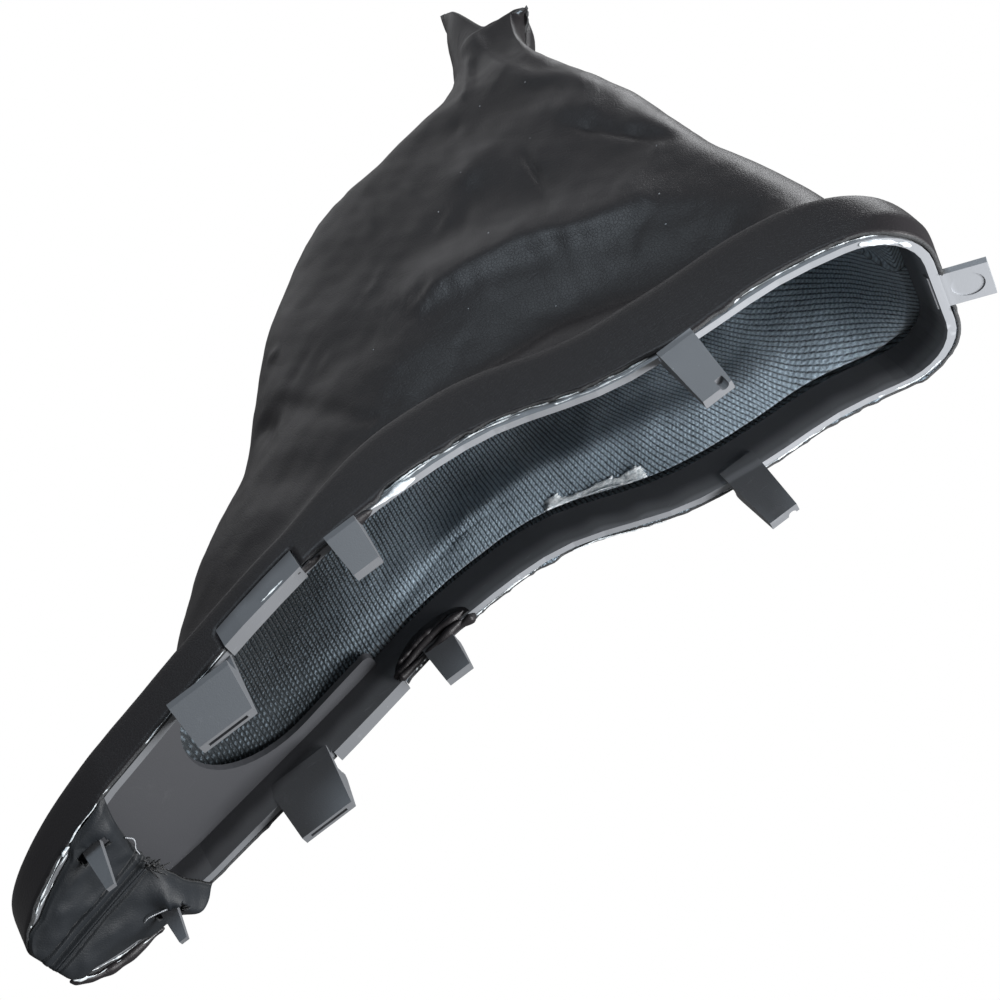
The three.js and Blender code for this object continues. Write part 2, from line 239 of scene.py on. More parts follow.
class SmoothCurve:
    """A smooth curve through knots of (x, value)."""

    def __init__(self, knots: Sequence[tuple]) -> None:
        self.x, self.y = np.array(knots, float).T
        count = len(self.x)
        before = np.maximum(np.arange(count) - 1, 0)
        after = np.minimum(np.arange(count) + 1, count - 1)
        self.slope = (self.y[after] - self.y[before]) / (self.x[after] - self.x[before])

    def __call__(self, x: np.ndarray) -> np.ndarray:
        """Evaluates the curve.

        Args:
            x: Places along the curve.

        Returns:
            The values there.
        """
        x = np.asarray(x, float)
        i = np.clip(np.searchsorted(self.x, x, side="right") - 1, 0, len(self.x) - 2)
        span = self.x[i + 1] - self.x[i]
        t = np.clip((x - self.x[i]) / span, 0, 1)
        return hermite(t, span, self.y, self.slope, i)


RIM = SmoothCurve(SIZES.rim)


class Outline:
    """The frame's half outline, measured along its length from the middle of the nose."""

    def __init__(self, sizes: FrameSizes) -> None:
        corner_x = sizes.length - sizes.corner_radius
        corner_y = sizes.rear_half - sizes.corner_radius
        t = np.linspace(0, 1, 60)[:, None]
        u = 1 - t
        start = np.array([0, sizes.nose_flat])
        pull = np.array([0, sizes.nose_flat + sizes.nose_pull])
        push = np.array([sizes.nose_push, sizes.nose_half - sizes.nose_taper])
        end = np.array([sizes.nose_length, sizes.nose_half])
        nose = u**3 * start + 3 * u * u * t * pull + 3 * u * t * t * push + t**3 * end
        side = SmoothCurve([(sizes.nose_length, sizes.nose_half), (sizes.widest_x, sizes.widest_half),
                            (sizes.waist_x, sizes.waist_half), (sizes.rear_x, sizes.rear_half),
                            (corner_x, sizes.rear_half)])
        side_x = np.linspace(sizes.nose_length, corner_x, 260)
        turn = np.linspace(math.pi / 2, 0, 60)
        corner = np.stack([corner_x + sizes.corner_radius * np.cos(turn),
                           corner_y + sizes.corner_radius * np.sin(turn)], 1)
        self.points = np.concatenate([
            np.stack([np.zeros(12), np.linspace(0, sizes.nose_flat, 12, endpoint=False)], 1),
            nose,
            np.stack([side_x, side(side_x)], 1)[1:],
            corner[1:],
            np.stack([np.full(16, sizes.length), np.linspace(corner_y, 0, 17)[1:]], 1)])
        self.arc = arc_lengths(self.points)
        self.total = float(self.arc[-1])
        along = unit(np.gradient(self.points, axis=0))
        self.normals = np.stack([-along[:, 1], along[:, 0]], 1)

    def at(self, arc: np.ndarray, offset: Union[float, np.ndarray] = 0.0) -> np.ndarray:
        """Finds points of the outline, moved outward.

        Args:
            arc: Distances along the outline.
            offset: How far outward the points move.

        Returns:
            An array of (x, y) points.
        """
        point = np.stack([np.interp(arc, self.arc, self.points[:, k]) for k in (0, 1)], 1)
        normal = unit(np.stack([np.interp(arc, self.arc, self.normals[:, k]) for k in (0, 1)], 1))
        return point + normal * np.reshape(offset, (-1, 1))

    def arc_at_x(self, x: float) -> float:
        """Finds the distance along the outline where its side passes x."""
        return float(np.interp(x, self.points[:, 0], self.arc))


OUTLINE = Outline(SIZES)


def band_share(x: np.ndarray) -> np.ndarray:
    """Says how far the rolled band stands up at x, from 0 to 1."""
    return smoothstep(x, 118, 165) * (1 - 0.75 * smoothstep(x, 285, 315))


def short_hem(x: np.ndarray) -> np.ndarray:
    """Says how far the near panel's cut edge stops short of the rim at x, in millimetres."""
    middle = smoothstep(x, 146, 156) * (1 - smoothstep(x, 226, 244))
    rear = smoothstep(x, 244, 262) * (1 - smoothstep(x, 300, 306))
    return 2.2 * middle + 1.5 * rear


class BagSurface:
    """The bag's outer and inner faces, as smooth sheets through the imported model's rings."""

    WALL_HEIGHTS = (HEM_RISE, SIZES.tab_notch_height, SIZES.notch_height, SIZES.wall_height - 3)

    def __init__(self, side: Side) -> None:
        self.side = side
        sample = self._rings(np.linspace(0, OUTLINE.total, 60), 0.0)
        gaps = np.linalg.norm(np.diff(sample, axis=0), axis=2).mean(axis=1)
        self.knots = np.concatenate([[0], np.cumsum(gaps)])

    def _rings(self, arcs: np.ndarray, inward: float) -> np.ndarray:
        """Places every ring's points.

        Args:
            arcs: Distances along the outline, one for each column.
            inward: Distance in from the outer face.

        Returns:
            An array of rings by columns by 3, in millimetres from the nose.
        """
        out = FIT_GAP + SKIN - inward
        share = SKIN - inward
        levels: list = [(out, lambda x, h=height: h + 0 * x) for height in self.WALL_HEIGHTS]
        if self.side is Side.NEAR:
            levels[0] = (out, lambda x: HEM_RISE + short_hem(x))
        crest = SIZES.wall_height + FIT_GAP + CREST_LIFT * share
        levels.append((out - CREST_LEAN * share, lambda x: crest + CREST_RISE * band_share(x)))
        levels.append((-BAND_BACK - inward * 0.2, lambda x: BAND_BASE - inward + BAND_RISE * band_share(x)))
        rings = []
        slack = REAR_SLACK * smoothstep(arcs, OUTLINE.arc_at_x(292), OUTLINE.arc_at_x(307))
        for i, (offset, lift) in enumerate(levels):
            point = OUTLINE.at(arcs, offset + slack * min(i, 2) / 2)
            x, y = point.T
            rings.append(np.column_stack([x, self._sided(y), RIM(x) + lift(x)]))
        for ring in BAG_RINGS:
            rings.append(self._bag_ring(ring, arcs, inward))
        return np.array(rings)

    def _sided(self, y: np.ndarray) -> np.ndarray:
        """Puts a half width on this panel's side, clear of the seam."""
        return self.side.value * np.maximum(y, SEAM_HALF_GAP)

    def _bag_ring(self, ring: BagRing, arcs: np.ndarray, inward: float) -> np.ndarray:
        """Places one ring of the bag above the frame.

        Args:
            ring: The ring's sizes.
            arcs: Distances along the outline, one for each column.
            inward: Distance in from the outer face.

        Returns:
            The ring's points, in millimetres from the nose.
        """
        point = OUTLINE.at(arcs)
        share = point[:, 0] / SIZES.length
        x = lerp(ring.front + inward, ring.rear - inward, share)
        lens = np.maximum(1 - np.abs(2 * share - 1) ** 2.4, 0) ** (1 / 2.2)
        mix = lerp(ring.blunt, 1, 0.6 * smoothstep(share, 0.6, 1))
        width = lerp(lens, np.minimum(point[:, 1] / SIZES.widest_half, 1), mix)
        y = self._sided((ring.half - inward) * width)
        level = np.full_like(x, ring.z)
        if ring is BAG_RINGS[-1]:
            near = smoothstep(-y, -ring.half, ring.half)
            level += (ring.rear - x) * 0.25 - lerp(NECK_FAR_DROP, NECK_NEAR_DROP, near)
            level += NECK_FRONT_LOBE * np.exp(-((arcs / OUTLINE.total / 0.2) ** 4))
        frame_level = RIM(x) + BAND_BASE + ring.rise * lerp(0.3, 1, band_share(x)) - inward * 0.7
        return np.column_stack([x, y, lerp(level, frame_level, ring.follow)])

    def grid(self, arcs: np.ndarray, rows: np.ndarray, inward: float) -> np.ndarray:
        """Samples the sheet.

        Args:
            arcs: Distances along the outline, one for each column.
            rows: Distances up the bag, on the scale of knots.
            inward: Distance in from the outer face.

        Returns:
            An array of rows by columns by 3, in millimetres from the nose.
        """
        rings = self._rings(arcs, inward)
        gap = np.diff(self.knots)[:, None, None]
        rate = np.diff(rings, axis=0) / gap
        slope = np.zeros_like(rings)
        product = rate[:-1] * rate[1:]
        total = rate[:-1] + rate[1:]
        slope[1:-1] = np.where(product > 0, 2 * product / np.where(np.abs(total) < 1e-9, 1, total), 0)
        slope[0], slope[-1] = rate[0], rate[-1]
        i = np.clip(np.searchsorted(self.knots, rows, side="right") - 1, 0, len(self.knots) - 2)
        span = gap[i]
        t = ((rows - self.knots[i]) / span[:, 0, 0])[:, None, None]
        return hermite(t, span, rings, slope, i)


class Ripple:
    """Smooth seeded noise of unit strength, made of plane waves."""

    def __init__(self, seed: int, wavelength: float, count: int = 26) -> None:
        rng = np.random.default_rng(seed)
        self.waves = unit(rng.normal(size=(count, 3))) * (2 * math.pi / wavelength)
        self.waves *= rng.uniform(0.6, 1.5, (count, 1))
        self.phases = rng.uniform(0, 2 * math.pi, count)

    def __call__(self, points: np.ndarray) -> np.ndarray:
        """Evaluates the noise.

        Args:
            points: Places, in millimetres, in the last axis.

        Returns:
            The noise there, mostly from -2 to 2.
        """
        total = np.zeros(points.shape[:-1])
        for wave, phase in zip(self.waves, self.phases):
            total += np.sin(points @ wave + phase)
        return total / math.sqrt(len(self.phases) / 2)


def dense_path(points: np.ndarray, count: int) -> np.ndarray:
    """Runs a smooth line through points.

    Args:
        points: Two or more points.
        count: How many points the line gets.

    Returns:
        The line's points.
    """
    points = np.asarray(points, float)
    arc = arc_lengths(points)
    at = np.linspace(0, arc[-1], count)
    return np.column_stack([SmoothCurve(list(zip(arc, axis)))(at) for axis in points.T])


@dataclass(frozen=True)
class Fold:
    """A ridge or valley pressed into a sheet, in millimetres.

    Attributes:
        path: Points of (x, z) on its line, seen from the side.
        height: Its height along the outward normal, negative in a valley.
        above: Its width above the line.
        below: Its width below the line.
        taper: The share of its length in which each end fades.
    """

    path: tuple
    height: float
    above: float
    below: float
    taper: float = 0.25

    def lift(self, points: np.ndarray, normals: np.ndarray, start: int) -> np.ndarray:
        """Measures how far the fold moves each point of a sheet.

        Args:
            points: The sheet's grid of points.
            normals: Its outward normals.
            start: The first row that the path may lie on.

        Returns:
            The distance along the normal, for each point.
        """
        shape = points.shape[:2]
        flat, normal = points.reshape(-1, 3), normals.reshape(-1, 3)
        upper = points[start:].reshape(-1, 3)
        knots = []
        for x, z in self.path:
            nearest = np.argmin((upper[:, 0] - x) ** 2 + (upper[:, 2] - z) ** 2)
            knots.append(upper[nearest])
        line = dense_path(np.array(knots), 70)
        along = unit(np.gradient(line, axis=0))
        reach = 3 * max(self.above, self.below)
        low, high = line.min(0) - reach, line.max(0) + reach
        near = np.where(np.all((flat > low) & (flat < high), axis=1))[0]
        result = np.zeros(len(flat))
        if len(near) == 0:
            return result.reshape(shape)
        p, n = flat[near], normal[near]
        squares = (p**2).sum(1)[:, None] + (line**2).sum(1)[None] - 2 * p @ line.T
        k = np.argmin(squares, axis=1)
        gap = p - line[k]
        lengthwise = (gap * along[k]).sum(1)
        across = np.cross(n, along[k])
        across *= np.sign(across[:, 2] + 0.3 * across[:, 0])[:, None]
        signed = (gap * across).sum(1)
        width = np.where(signed > 0, self.above, self.below)
        distance = np.linalg.norm(gap - lengthwise[:, None] * along[k], axis=1)
        share = k / (len(line) - 1)
        fade = smoothstep(share, -0.01, self.taper) * (1 - smoothstep(share, 1 - self.taper, 1.01))
        end = bell(lengthwise, 0.5 * (self.above + self.below))
        result[near] = self.height * fade * end * bell(distance, width)
        return result.reshape(shape)


@dataclass
class Sheet:
    """A thin closed sheet between an outer and an inner grid, with holes where faces are left out."""

    outer: np.ndarray
    inner: np.ndarray
    keep: np.ndarray
    tags: dict = field(default_factory=dict)

    def mesh(self, name: str, materials: Sequence[bpy.types.Material]) -> bpy.types.Object:
        """Makes the sheet's object.

        Args:
            name: The object's name.
            materials: Materials of the outside, the inside and the cut edge.

        Returns:
            The new object, with its origin at the shared frame's origin.
        """
        rows, columns = self.outer.shape[:2]
        ids = np.arange(rows * columns).reshape(rows, columns)
        under = rows * columns
        kept = np.pad(self.keep, 1)
        corners = (ids[:-1, :-1], ids[:-1, 1:], ids[1:, 1:], ids[1:, :-1])
        outside = np.stack([c[self.keep] for c in corners], 1)
        quads = [outside, outside[:, ::-1] + under]
        kinds = [np.full(len(outside), face.value) for face in (Face.OUTSIDE, Face.INSIDE)]
        neighbours = ((kept[:-2, 1:-1], corners[0], corners[1]), (kept[1:-1, 2:], corners[1], corners[2]),
                      (kept[2:, 1:-1], corners[2], corners[3]), (kept[1:-1, :-2], corners[3], corners[0]))
        for beside, first, second in neighbours:
            open_edge = self.keep & ~beside
            a, b = first[open_edge], second[open_edge]
            quads.append(np.stack([b, a, a + under, b + under], 1))
            kinds.append(np.full(len(a), Face.EDGE.value))
        faces, kind = np.concatenate(quads), np.concatenate(kinds)
        used, faces = np.unique(faces, return_inverse=True)
        points = np.concatenate([self.outer.reshape(-1, 3), self.inner.reshape(-1, 3)])[used]
        built = mesh_object(name, to_metres(points), faces.reshape(-1, 4), materials, kind)
        for tag, values in self.tags.items():
            both = np.tile(values.ravel(), 2)[used]
            attribute = built.data.attributes.new(tag, "FLOAT", "POINT")
            attribute.data.foreach_set("value", both.astype(np.float32))
        return built


def mesh_object(name: str, points: np.ndarray, faces: Union[np.ndarray, list],
                materials: Sequence[bpy.types.Material],
                kinds: Optional[np.ndarray] = None) -> bpy.types.Object:
    """Makes a smooth mesh object whose normals point outward.

    Args:
        name: The object's name.
        points: Its points, in metres of the shared frame.
        faces: Its faces, as lists of point numbers.
        materials: Its material slots.
        kinds: Each face's slot, or None for the first slot.

    Returns:
        The new object.
    """
    mesh = bpy.data.meshes.new(name)
    loops = faces.tolist() if isinstance(faces, np.ndarray) else faces
    mesh.from_pydata(np.asarray(points).tolist(), [], loops)
    for material in materials:
        mesh.materials.append(material)
    if kinds is not None:
        mesh.polygons.foreach_set("material_index", np.asarray(kinds, np.int32))
    mesh.polygons.foreach_set("use_smooth", np.ones(len(mesh.polygons), bool))
    work = bmesh.new()
    work.from_mesh(mesh)
    bmesh.ops.recalc_face_normals(work, faces=work.faces)
    work.to_mesh(mesh)
    work.free()
    mesh.update()
    built = bpy.data.objects.new(name, mesh)
    bpy.context.scene.collection.objects.link(built)
    return built


def tube(path: np.ndarray, radii: np.ndarray, segments: int = 8, flatten: float = 1.0,
         flat_axis: Sequence[float] = (0, 0, 1)) -> tuple:
    """Builds a closed tube of changing radius.

    Args:
        path: The points of its middle line, in millimetres.
        radii: The radius at each point.
        segments: Points round the tube.
        flatten: Its thickness along flat_axis, as a share of its width.
        flat_axis: The direction in which it is flattened.

    Returns:
        The tube's points and its list of faces.
    """
    along = unit(np.gradient(path, axis=0))
    first = unit(np.cross(along, np.array(flat_axis, float) + 1e-4))
    second = np.cross(first, along)
    turn = np.linspace(0, 2 * math.pi, segments, endpoint=False)
    cosine, sine = np.cos(turn)[None, :, None], np.sin(turn)[None, :, None]
    ring = cosine * first[:, None] + flatten * sine * second[:, None]
    points = (path[:, None] + ring * radii[:, None, None]).reshape(-1, 3)
    faces = []
    for i in range(len(path) - 1):
        for j in range(segments):
            k = (j + 1) % segments
            faces.append([i * segments + j, i * segments + k, (i + 1) * segments + k, (i + 1) * segments + j])
    ends = len(points)
    tips = (path[:1] - along[:1] * radii[0] * 0.5, path[-1:] + along[-1:] * radii[-1] * 0.5)
    points = np.concatenate([points, *tips])
    last = (len(path) - 1) * segments
    for j in range(segments):
        k = (j + 1) % segments
        faces.append([k, j, ends])
        faces.append([last + j, last + k, ends + 1])
    return points, faces


def merged(solids: Iterable[tuple]) -> tuple:
    """Joins lists of points and faces into one.

    Args:
        solids: Pairs of points and faces.

    Returns:
        All the points and all the faces.
    """
    points, faces, count = [], [], 0
    for some_points, some_faces in solids:
        points.append(some_points)
        faces += [[index + count for index in face] for face in some_faces]
        count += len(some_points)
    return np.concatenate(points), faces


class Value:
    """An output of a shader node, with arithmetic."""

    def __init__(self, graph: "Graph", socket: bpy.types.NodeSocket) -> None:
        self.graph = graph
        self.socket = socket

    def _math(self, operation: str, *others: Union["Value", float]) -> "Value":
        """Adds a maths node whose first input is this value."""
        inputs = dict(enumerate((self, *others)))
        return self.graph.add("ShaderNodeMath", inputs, operation=operation)

    def _reverse(self, operation: str, other: float) -> "Value":
        """Adds a maths node whose second input is this value."""
        return self.graph.add("ShaderNodeMath", {0: other, 1: self}, operation=operation)

    def __add__(self, other: Union["Value", float]) -> "Value":
        return self._math("ADD", other)

    def __radd__(self, other: float) -> "Value":
        return self._reverse("ADD", other)

    def __sub__(self, other: Union["Value", float]) -> "Value":
        return self._math("SUBTRACT", other)

    def __rsub__(self, other: float) -> "Value":
        return self._reverse("SUBTRACT", other)

    def __mul__(self, other: Union["Value", float]) -> "Value":
        return self._math("MULTIPLY", other)

    def __rmul__(self, other: float) -> "Value":
        return self._reverse("MULTIPLY", other)

    def sine(self) -> "Value":
        """Returns the sine of the value."""
        return self._math("SINE")

    def size(self) -> "Value":
        """Returns the value without its sign."""
        return self._math("ABSOLUTE")

    def ramp(self, low: float, high: float) -> "Value":
        """Ramps smoothly from 0 at low to 1 at high."""
        inputs = {"Value": self, "From Min": low, "From Max": high}
        return self.graph.add("ShaderNodeMapRange", inputs, interpolation_type="SMOOTHSTEP")


class Graph:
    """The node graph of one material."""

    def __init__(self, name: str) -> None:
        self.material = bpy.data.materials.new(name)
        self.material.use_nodes = True
        self.tree = self.material.node_tree
        self.shader = self.tree.nodes["Principled BSDF"]
        self.output = self.tree.nodes["Material Output"]

    def add(self, kind: str, inputs: Optional[dict] = None, output: Union[int, str] = 0, **settings) -> Value:
        """Adds a node.

        Args:
            kind: The node's type.
            inputs: Values or links for its inputs, by name or number.
            output: The output that is returned.
            **settings: Properties of the node.

        Returns:
            One output of the node.
        """
        node = self.tree.nodes.new(kind)
        for key, setting in settings.items():
            setattr(node, key, setting)
        for key, value in (inputs or {}).items():
            if isinstance(value, Value):
                self.tree.links.new(value.socket, node.inputs[key])
            else:
                node.inputs[key].default_value = value
        return Value(self, node.outputs[output])

    def millimetres(self) -> Value:
        """Gives the object's own coordinates, in millimetres."""
        place = self.add("ShaderNodeTexCoord", output="Object")
        return self.add("ShaderNodeVectorMath", {0: place, "Scale": 1 / MM}, operation="SCALE")

    def axes(self, place: Value) -> tuple:
        """Splits a vector into its three values."""
        x = self.add("ShaderNodeSeparateXYZ", {0: place})
        outputs = x.socket.node.outputs
        return x, Value(self, outputs[1]), Value(self, outputs[2])

    def tag(self, name: str) -> Value:
        """Reads a piece's own attribute."""
        return self.add("ShaderNodeAttribute", output="Fac", attribute_name=name)

    def noise(self, place: Value, scale: float, detail: float = 3.0, roughness: float = 0.55) -> Value:
        """Adds noise from 0 to 1 whose features are about 1 / scale wide."""
        inputs = {"Vector": place, "Scale": scale, "Detail": detail, "Roughness": roughness}
        return self.add("ShaderNodeTexNoise", inputs)

    def cells(self, place: Value, scale: float, feature: str = "DISTANCE_TO_EDGE") -> Value:
        """Adds a cell pattern, as the distance to the nearest edge or point."""
        return self.add("ShaderNodeTexVoronoi", {"Vector": place, "Scale": scale}, feature=feature)

    def colours(self, share: Value, low: Union[tuple, Value], high: Union[tuple, Value]) -> Value:
        """Mixes two colours.

        Args:
            share: The share of the second colour.
            low: The first colour, linear.
            high: The second colour.

        Returns:
            The mix.
        """
        inputs = {0: share}
        for key, colour in ((6, low), (7, high)):
            inputs[key] = colour if isinstance(colour, Value) else (*colour, 1.0)
        return self.add("ShaderNodeMix", inputs, output=2, data_type="RGBA")

    def bump(self, height: Value, distance: float, strength: float = 1.0,
             below: Optional[Value] = None) -> Value:
        """Turns a height into a normal.

        Args:
            height: The height, as a share of the distance.
            distance: The relief's full depth, in metres.
            strength: How strongly it shows.
            below: Another normal that it lies on.

        Returns:
            The normal.
        """
        inputs = {"Height": height, "Distance": distance, "Strength": strength}
        if below is not None:
            inputs["Normal"] = below
        return self.add("ShaderNodeBump", inputs)

    def finish(self, **inputs: Union[Value, float, tuple]) -> bpy.types.Material:
        """Sets the shader's inputs, named with underscores, and returns the material."""
        for key, value in inputs.items():
            target = self.shader.inputs[key.replace("_", " ")]
            if isinstance(value, Value):
                self.tree.links.new(value.socket, target)
            else:
                target.default_value = value
        return self.material


def rim_height(x: Value) -> Value:
    """Follows the frame's rim, as straight spans between a few places.

    Args:
        x: Millimetres along the boot, from the frame's middle.

    Returns:
        The rim's height there.
    """
    stops = np.linspace(0, SIZES.length, 25)
    height = x * 0 + float(RIM(stops[0]))
    for low, high in zip(stops[:-1], stops[1:]):
        span = x.ramp(low + NOSE_X * 1000, high + NOSE_X * 1000)
        height = height + span * float(RIM(high) - RIM(low))
    return height


@dataclass(frozen=True)
class Leatherette:
    """Black grained leatherette, worn paler on its ridges and dusty in places."""

    name: str = "leatherette"
    deep: tuple = (0.0098, 0.0082, 0.0093)
    worn: tuple = (0.0185, 0.0172, 0.0196)
    grain: float = 1.05
    roughness: float = 0.38

    def material(self) -> bpy.types.Material:
        """Makes the finish."""
        graph = Graph(self.name)
        place = graph.millimetres()
        grain = graph.cells(place, self.grain).ramp(0.0, 0.16)
        fine = graph.noise(place, 2.4, 4.0)
        sway = graph.add("ShaderNodeTexNoise", {"Vector": place, "Scale": 0.09}, output="Color")
        bent = graph.add("ShaderNodeVectorMath", {0: place, 1: sway}, operation="ADD")
        creases = graph.cells(bent, 0.21).ramp(0.0, 0.09)
        wide = graph.noise(place, 0.022, 3.0)
        dust = graph.noise(place, 0.5, 6.0, 0.7).ramp(0.6, 0.78)
        lift = graph.tag("fold").ramp(-1.6, 2.2)
        wear = 0.55 * lift + 0.35 * wide + 0.1 * dust
        colour = graph.colours(wear, self.deep, self.worn)
        rough = self.roughness + 0.1 * fine + 0.1 * (1 - wide) - 0.04 * lift
        normal = graph.bump(wide, 1.2 * MM, 0.12)
        normal = graph.bump(creases, 0.035 * MM, 0.4, normal)
        normal = graph.bump(grain * 0.7 + fine * 0.5, 0.036 * MM, 0.9, normal)
        return graph.finish(Base_Color=colour, Roughness=rough, Normal=normal, Specular_IOR_Level=0.32)


@dataclass(frozen=True)
class RibbedKnit:
    """Dark blue-green ribbed knit, the backing of the leatherette, with painted shade towards the front and
    high up in the bag.
    """

    name: str = "knit"
    groove: tuple = (0.016, 0.022, 0.027)
    crown: tuple = (0.41, 0.52, 0.62)
    pitch: float = 1.45
    stitch: float = 1.2

    def material(self) -> bpy.types.Material:
        """Makes the finish."""
        graph = Graph(self.name)
        place = graph.millimetres()
        x, y, z = graph.axes(place)
        rear = x.ramp(-22.0, 128.0)
        lean = 0.58 * rear * rear * (3 - 2 * rear) - 0.07
        sway = graph.noise(place, 0.05, 2.0) * 1.6 + graph.noise(place, 0.6, 2.0) * 0.3
        across = x + lean * (z - 55.0) - y.size() * x.ramp(100.0, 150.0) * 0.8 + sway
        slant = (across * (2 * math.pi / self.pitch)).sine()
        loop = ((z * (2 * math.pi / self.stitch) + slant * 1.2 + sway * 2).sine() + 1) * 0.5
        rib = (across * (math.pi / self.pitch)).sine().size()
        fuzz = graph.noise(place, 1.5, 5.0, 0.75)
        soil = graph.noise(place, 0.04, 3.0)
        height = rib.ramp(0.0, 0.8) * 0.42 + loop * rib * 0.36 + fuzz.ramp(0.3, 0.7) * 0.42
        # Painted shade: the knit gets darker towards the front, where the plate and the bag would shade it;
        # the soil noise is its own uneven tone.
        tone = height * 0.95 + soil * 0.3 - 0.28 - 0.6 * (1 - x.ramp(-80.0, -5.0))
        # Painted shade: darker from 28 to 46 mm above the rim, deep in the bag behind the near wall, fading
        # out towards the rear.
        tone = tone - (z - rim_height(x)).ramp(28.0, 46.0) * (1 - x.ramp(45.0, 85.0)) * 0.26
        colour = graph.colours(tone, self.groove, self.crown)
        normal = graph.bump(height, 0.55 * MM, 0.9)
        return graph.finish(Base_Color=colour, Roughness=0.9, Normal=normal, Specular_IOR_Level=0.25,
                            Sheen_Weight=0.25, Sheen_Roughness=0.5)


@dataclass(frozen=True)
class CutEdge:
    """The trimmed edge of the leatherette, with black film and grey fibres."""

    name: str = "cut_edge"
    film: tuple = (0.012, 0.012, 0.013)
    fibre: tuple = (0.075, 0.08, 0.085)

    def material(self) -> bpy.types.Material:
        """Makes the finish."""
        graph = Graph(self.name)
        place = graph.millimetres()
        fibres = graph.noise(place, 3.0, 5.0, 0.75).ramp(0.35, 0.7)
        normal = graph.bump(graph.noise(place, 5.0, 4.0), 0.25 * MM, 0.9)
        colour = graph.colours(fibres, self.film, self.fibre)
        return graph.finish(Base_Color=colour, Roughness=0.85, Normal=normal)


@dataclass(frozen=True)
class MouldedPlastic:
    """Grey moulded plastic with scuffs, dust and dried glue on its edges, with painted highlights on the
    rim's underside and the rear end, and painted shade deep inside the frame.
    """

    name: str = "frame_plastic"
    body: tuple = (0.118, 0.124, 0.134)
    # The scuff colour serves real scuffs and also the painted highlights on the rim's underside and the rear
    # end.
    scuff_and_painted_light: tuple = (0.32, 0.335, 0.36)
    # Colour of the painted shade deep inside the frame.
    dark: tuple = (0.032, 0.033, 0.038)
    glue: tuple = (0.62, 0.66, 0.70)

    def material(self) -> bpy.types.Material:
        """Makes the finish."""
        graph = Graph(self.name)
        place = graph.millimetres()
        x, _, z = graph.axes(place)
        texture = graph.noise(place, 2.2, 4.0, 0.6)
        cloud = graph.noise(place, 0.03, 4.0)
        stretch = {"Vector": place, "Scale": (0.10, 1.6, 1.1), "Rotation": (0, 0.35, 0.2)}
        stretched = graph.add("ShaderNodeMapping", stretch)
        scratches = graph.noise(stretched, 0.9, 4.0, 0.7).ramp(0.63, 0.74)
        patches = graph.noise(place, 0.11, 5.0, 0.7).ramp(0.60, 0.72)
        specks = graph.cells(place, 0.33, "F1").ramp(0.10, 0.05)
        tone = graph.colours(cloud, self.body, tuple(1.3 * c for c in self.body))
        # Painted highlight: the rear end, where the tab is, is lightened towards the scuff colour.
        tone = graph.colours(x.ramp(149.5, 151.5) * 0.7, tone, self.scuff_and_painted_light)
        depth = z - rim_height(x)
        tone = graph.colours(scratches * 0.3, tone, self.scuff_and_painted_light)
        tone = graph.colours(patches * 0.12, tone, self.scuff_and_painted_light)
        # Partly real scuffs, partly a painted highlight: the rim's underside and the clips just below it,
        # from the middle back, are lightened towards the scuff colour.
        edge = depth.ramp(-1.5, -0.3) * (1 - depth.ramp(0.6, 2.4)) * x.ramp(-30.0, 10.0)
        tone = graph.colours(edge * (0.55 + 0.4 * patches), tone, self.scuff_and_painted_light)
        tone = graph.colours(specks * cloud.ramp(0.55, 0.7) * 0.5, tone, self.glue)
        # Painted shade: the plastic gets darker the deeper it lies inside the frame above the rim, on the
        # plate and the walls' inner faces.
        tone = graph.colours(depth.ramp(2.5, 8.0) * 0.88, tone, self.dark)
        rough = 0.46 + 0.12 * texture - 0.08 * scratches + 0.1 * patches
        normal = graph.bump(cloud, 0.5 * MM, 0.15)
        normal = graph.bump(texture + scratches * 0.4 + patches * 0.3, 0.06 * MM, 0.8, normal)
        return graph.finish(Base_Color=tone, Roughness=rough, Normal=normal, Specular_IOR_Level=0.5)


@dataclass(frozen=True)
class DriedGlue:
    """Milky dried contact glue."""

    name: str = "dried_glue"
    thin: tuple = (0.50, 0.56, 0.60)
    thick: tuple = (0.86, 0.90, 0.92)

    def material(self) -> bpy.types.Material:
        """Makes the finish."""
        graph = Graph(self.name)
        place = graph.millimetres()
        lumps = graph.noise(place, 0.9, 5.0, 0.65)
        normal = graph.bump(lumps, 0.5 * MM, 0.8)
        return graph.finish(Base_Color=graph.colours(lumps.ramp(0.35, 0.65), self.thin, self.thick),
                            Roughness=0.38 + 0.2 * lumps, Normal=normal, Coat_Weight=0.15)


@dataclass(frozen=True)
class TwistedThread:
    """Sewing thread, with the twist of its plies."""

    name: str
    shade: tuple

    def material(self) -> bpy.types.Material:
        """Makes the finish."""
        graph = Graph(self.name)
        place = graph.millimetres()
        x, y, z = graph.axes(place)
        twist = ((x + y * 0.8 + z * 0.5) * 9.0).sine() * 0.5 + 0.5
        fuzz = graph.noise(place, 6.0, 3.0)
        colour = graph.colours(twist * 0.6 + fuzz * 0.4, tuple(0.45 * c for c in self.shade), self.shade)
        normal = graph.bump(twist, 0.12 * MM, 0.9)
        return graph.finish(Base_Color=colour, Roughness=0.7, Normal=normal, Sheen_Weight=0.2)


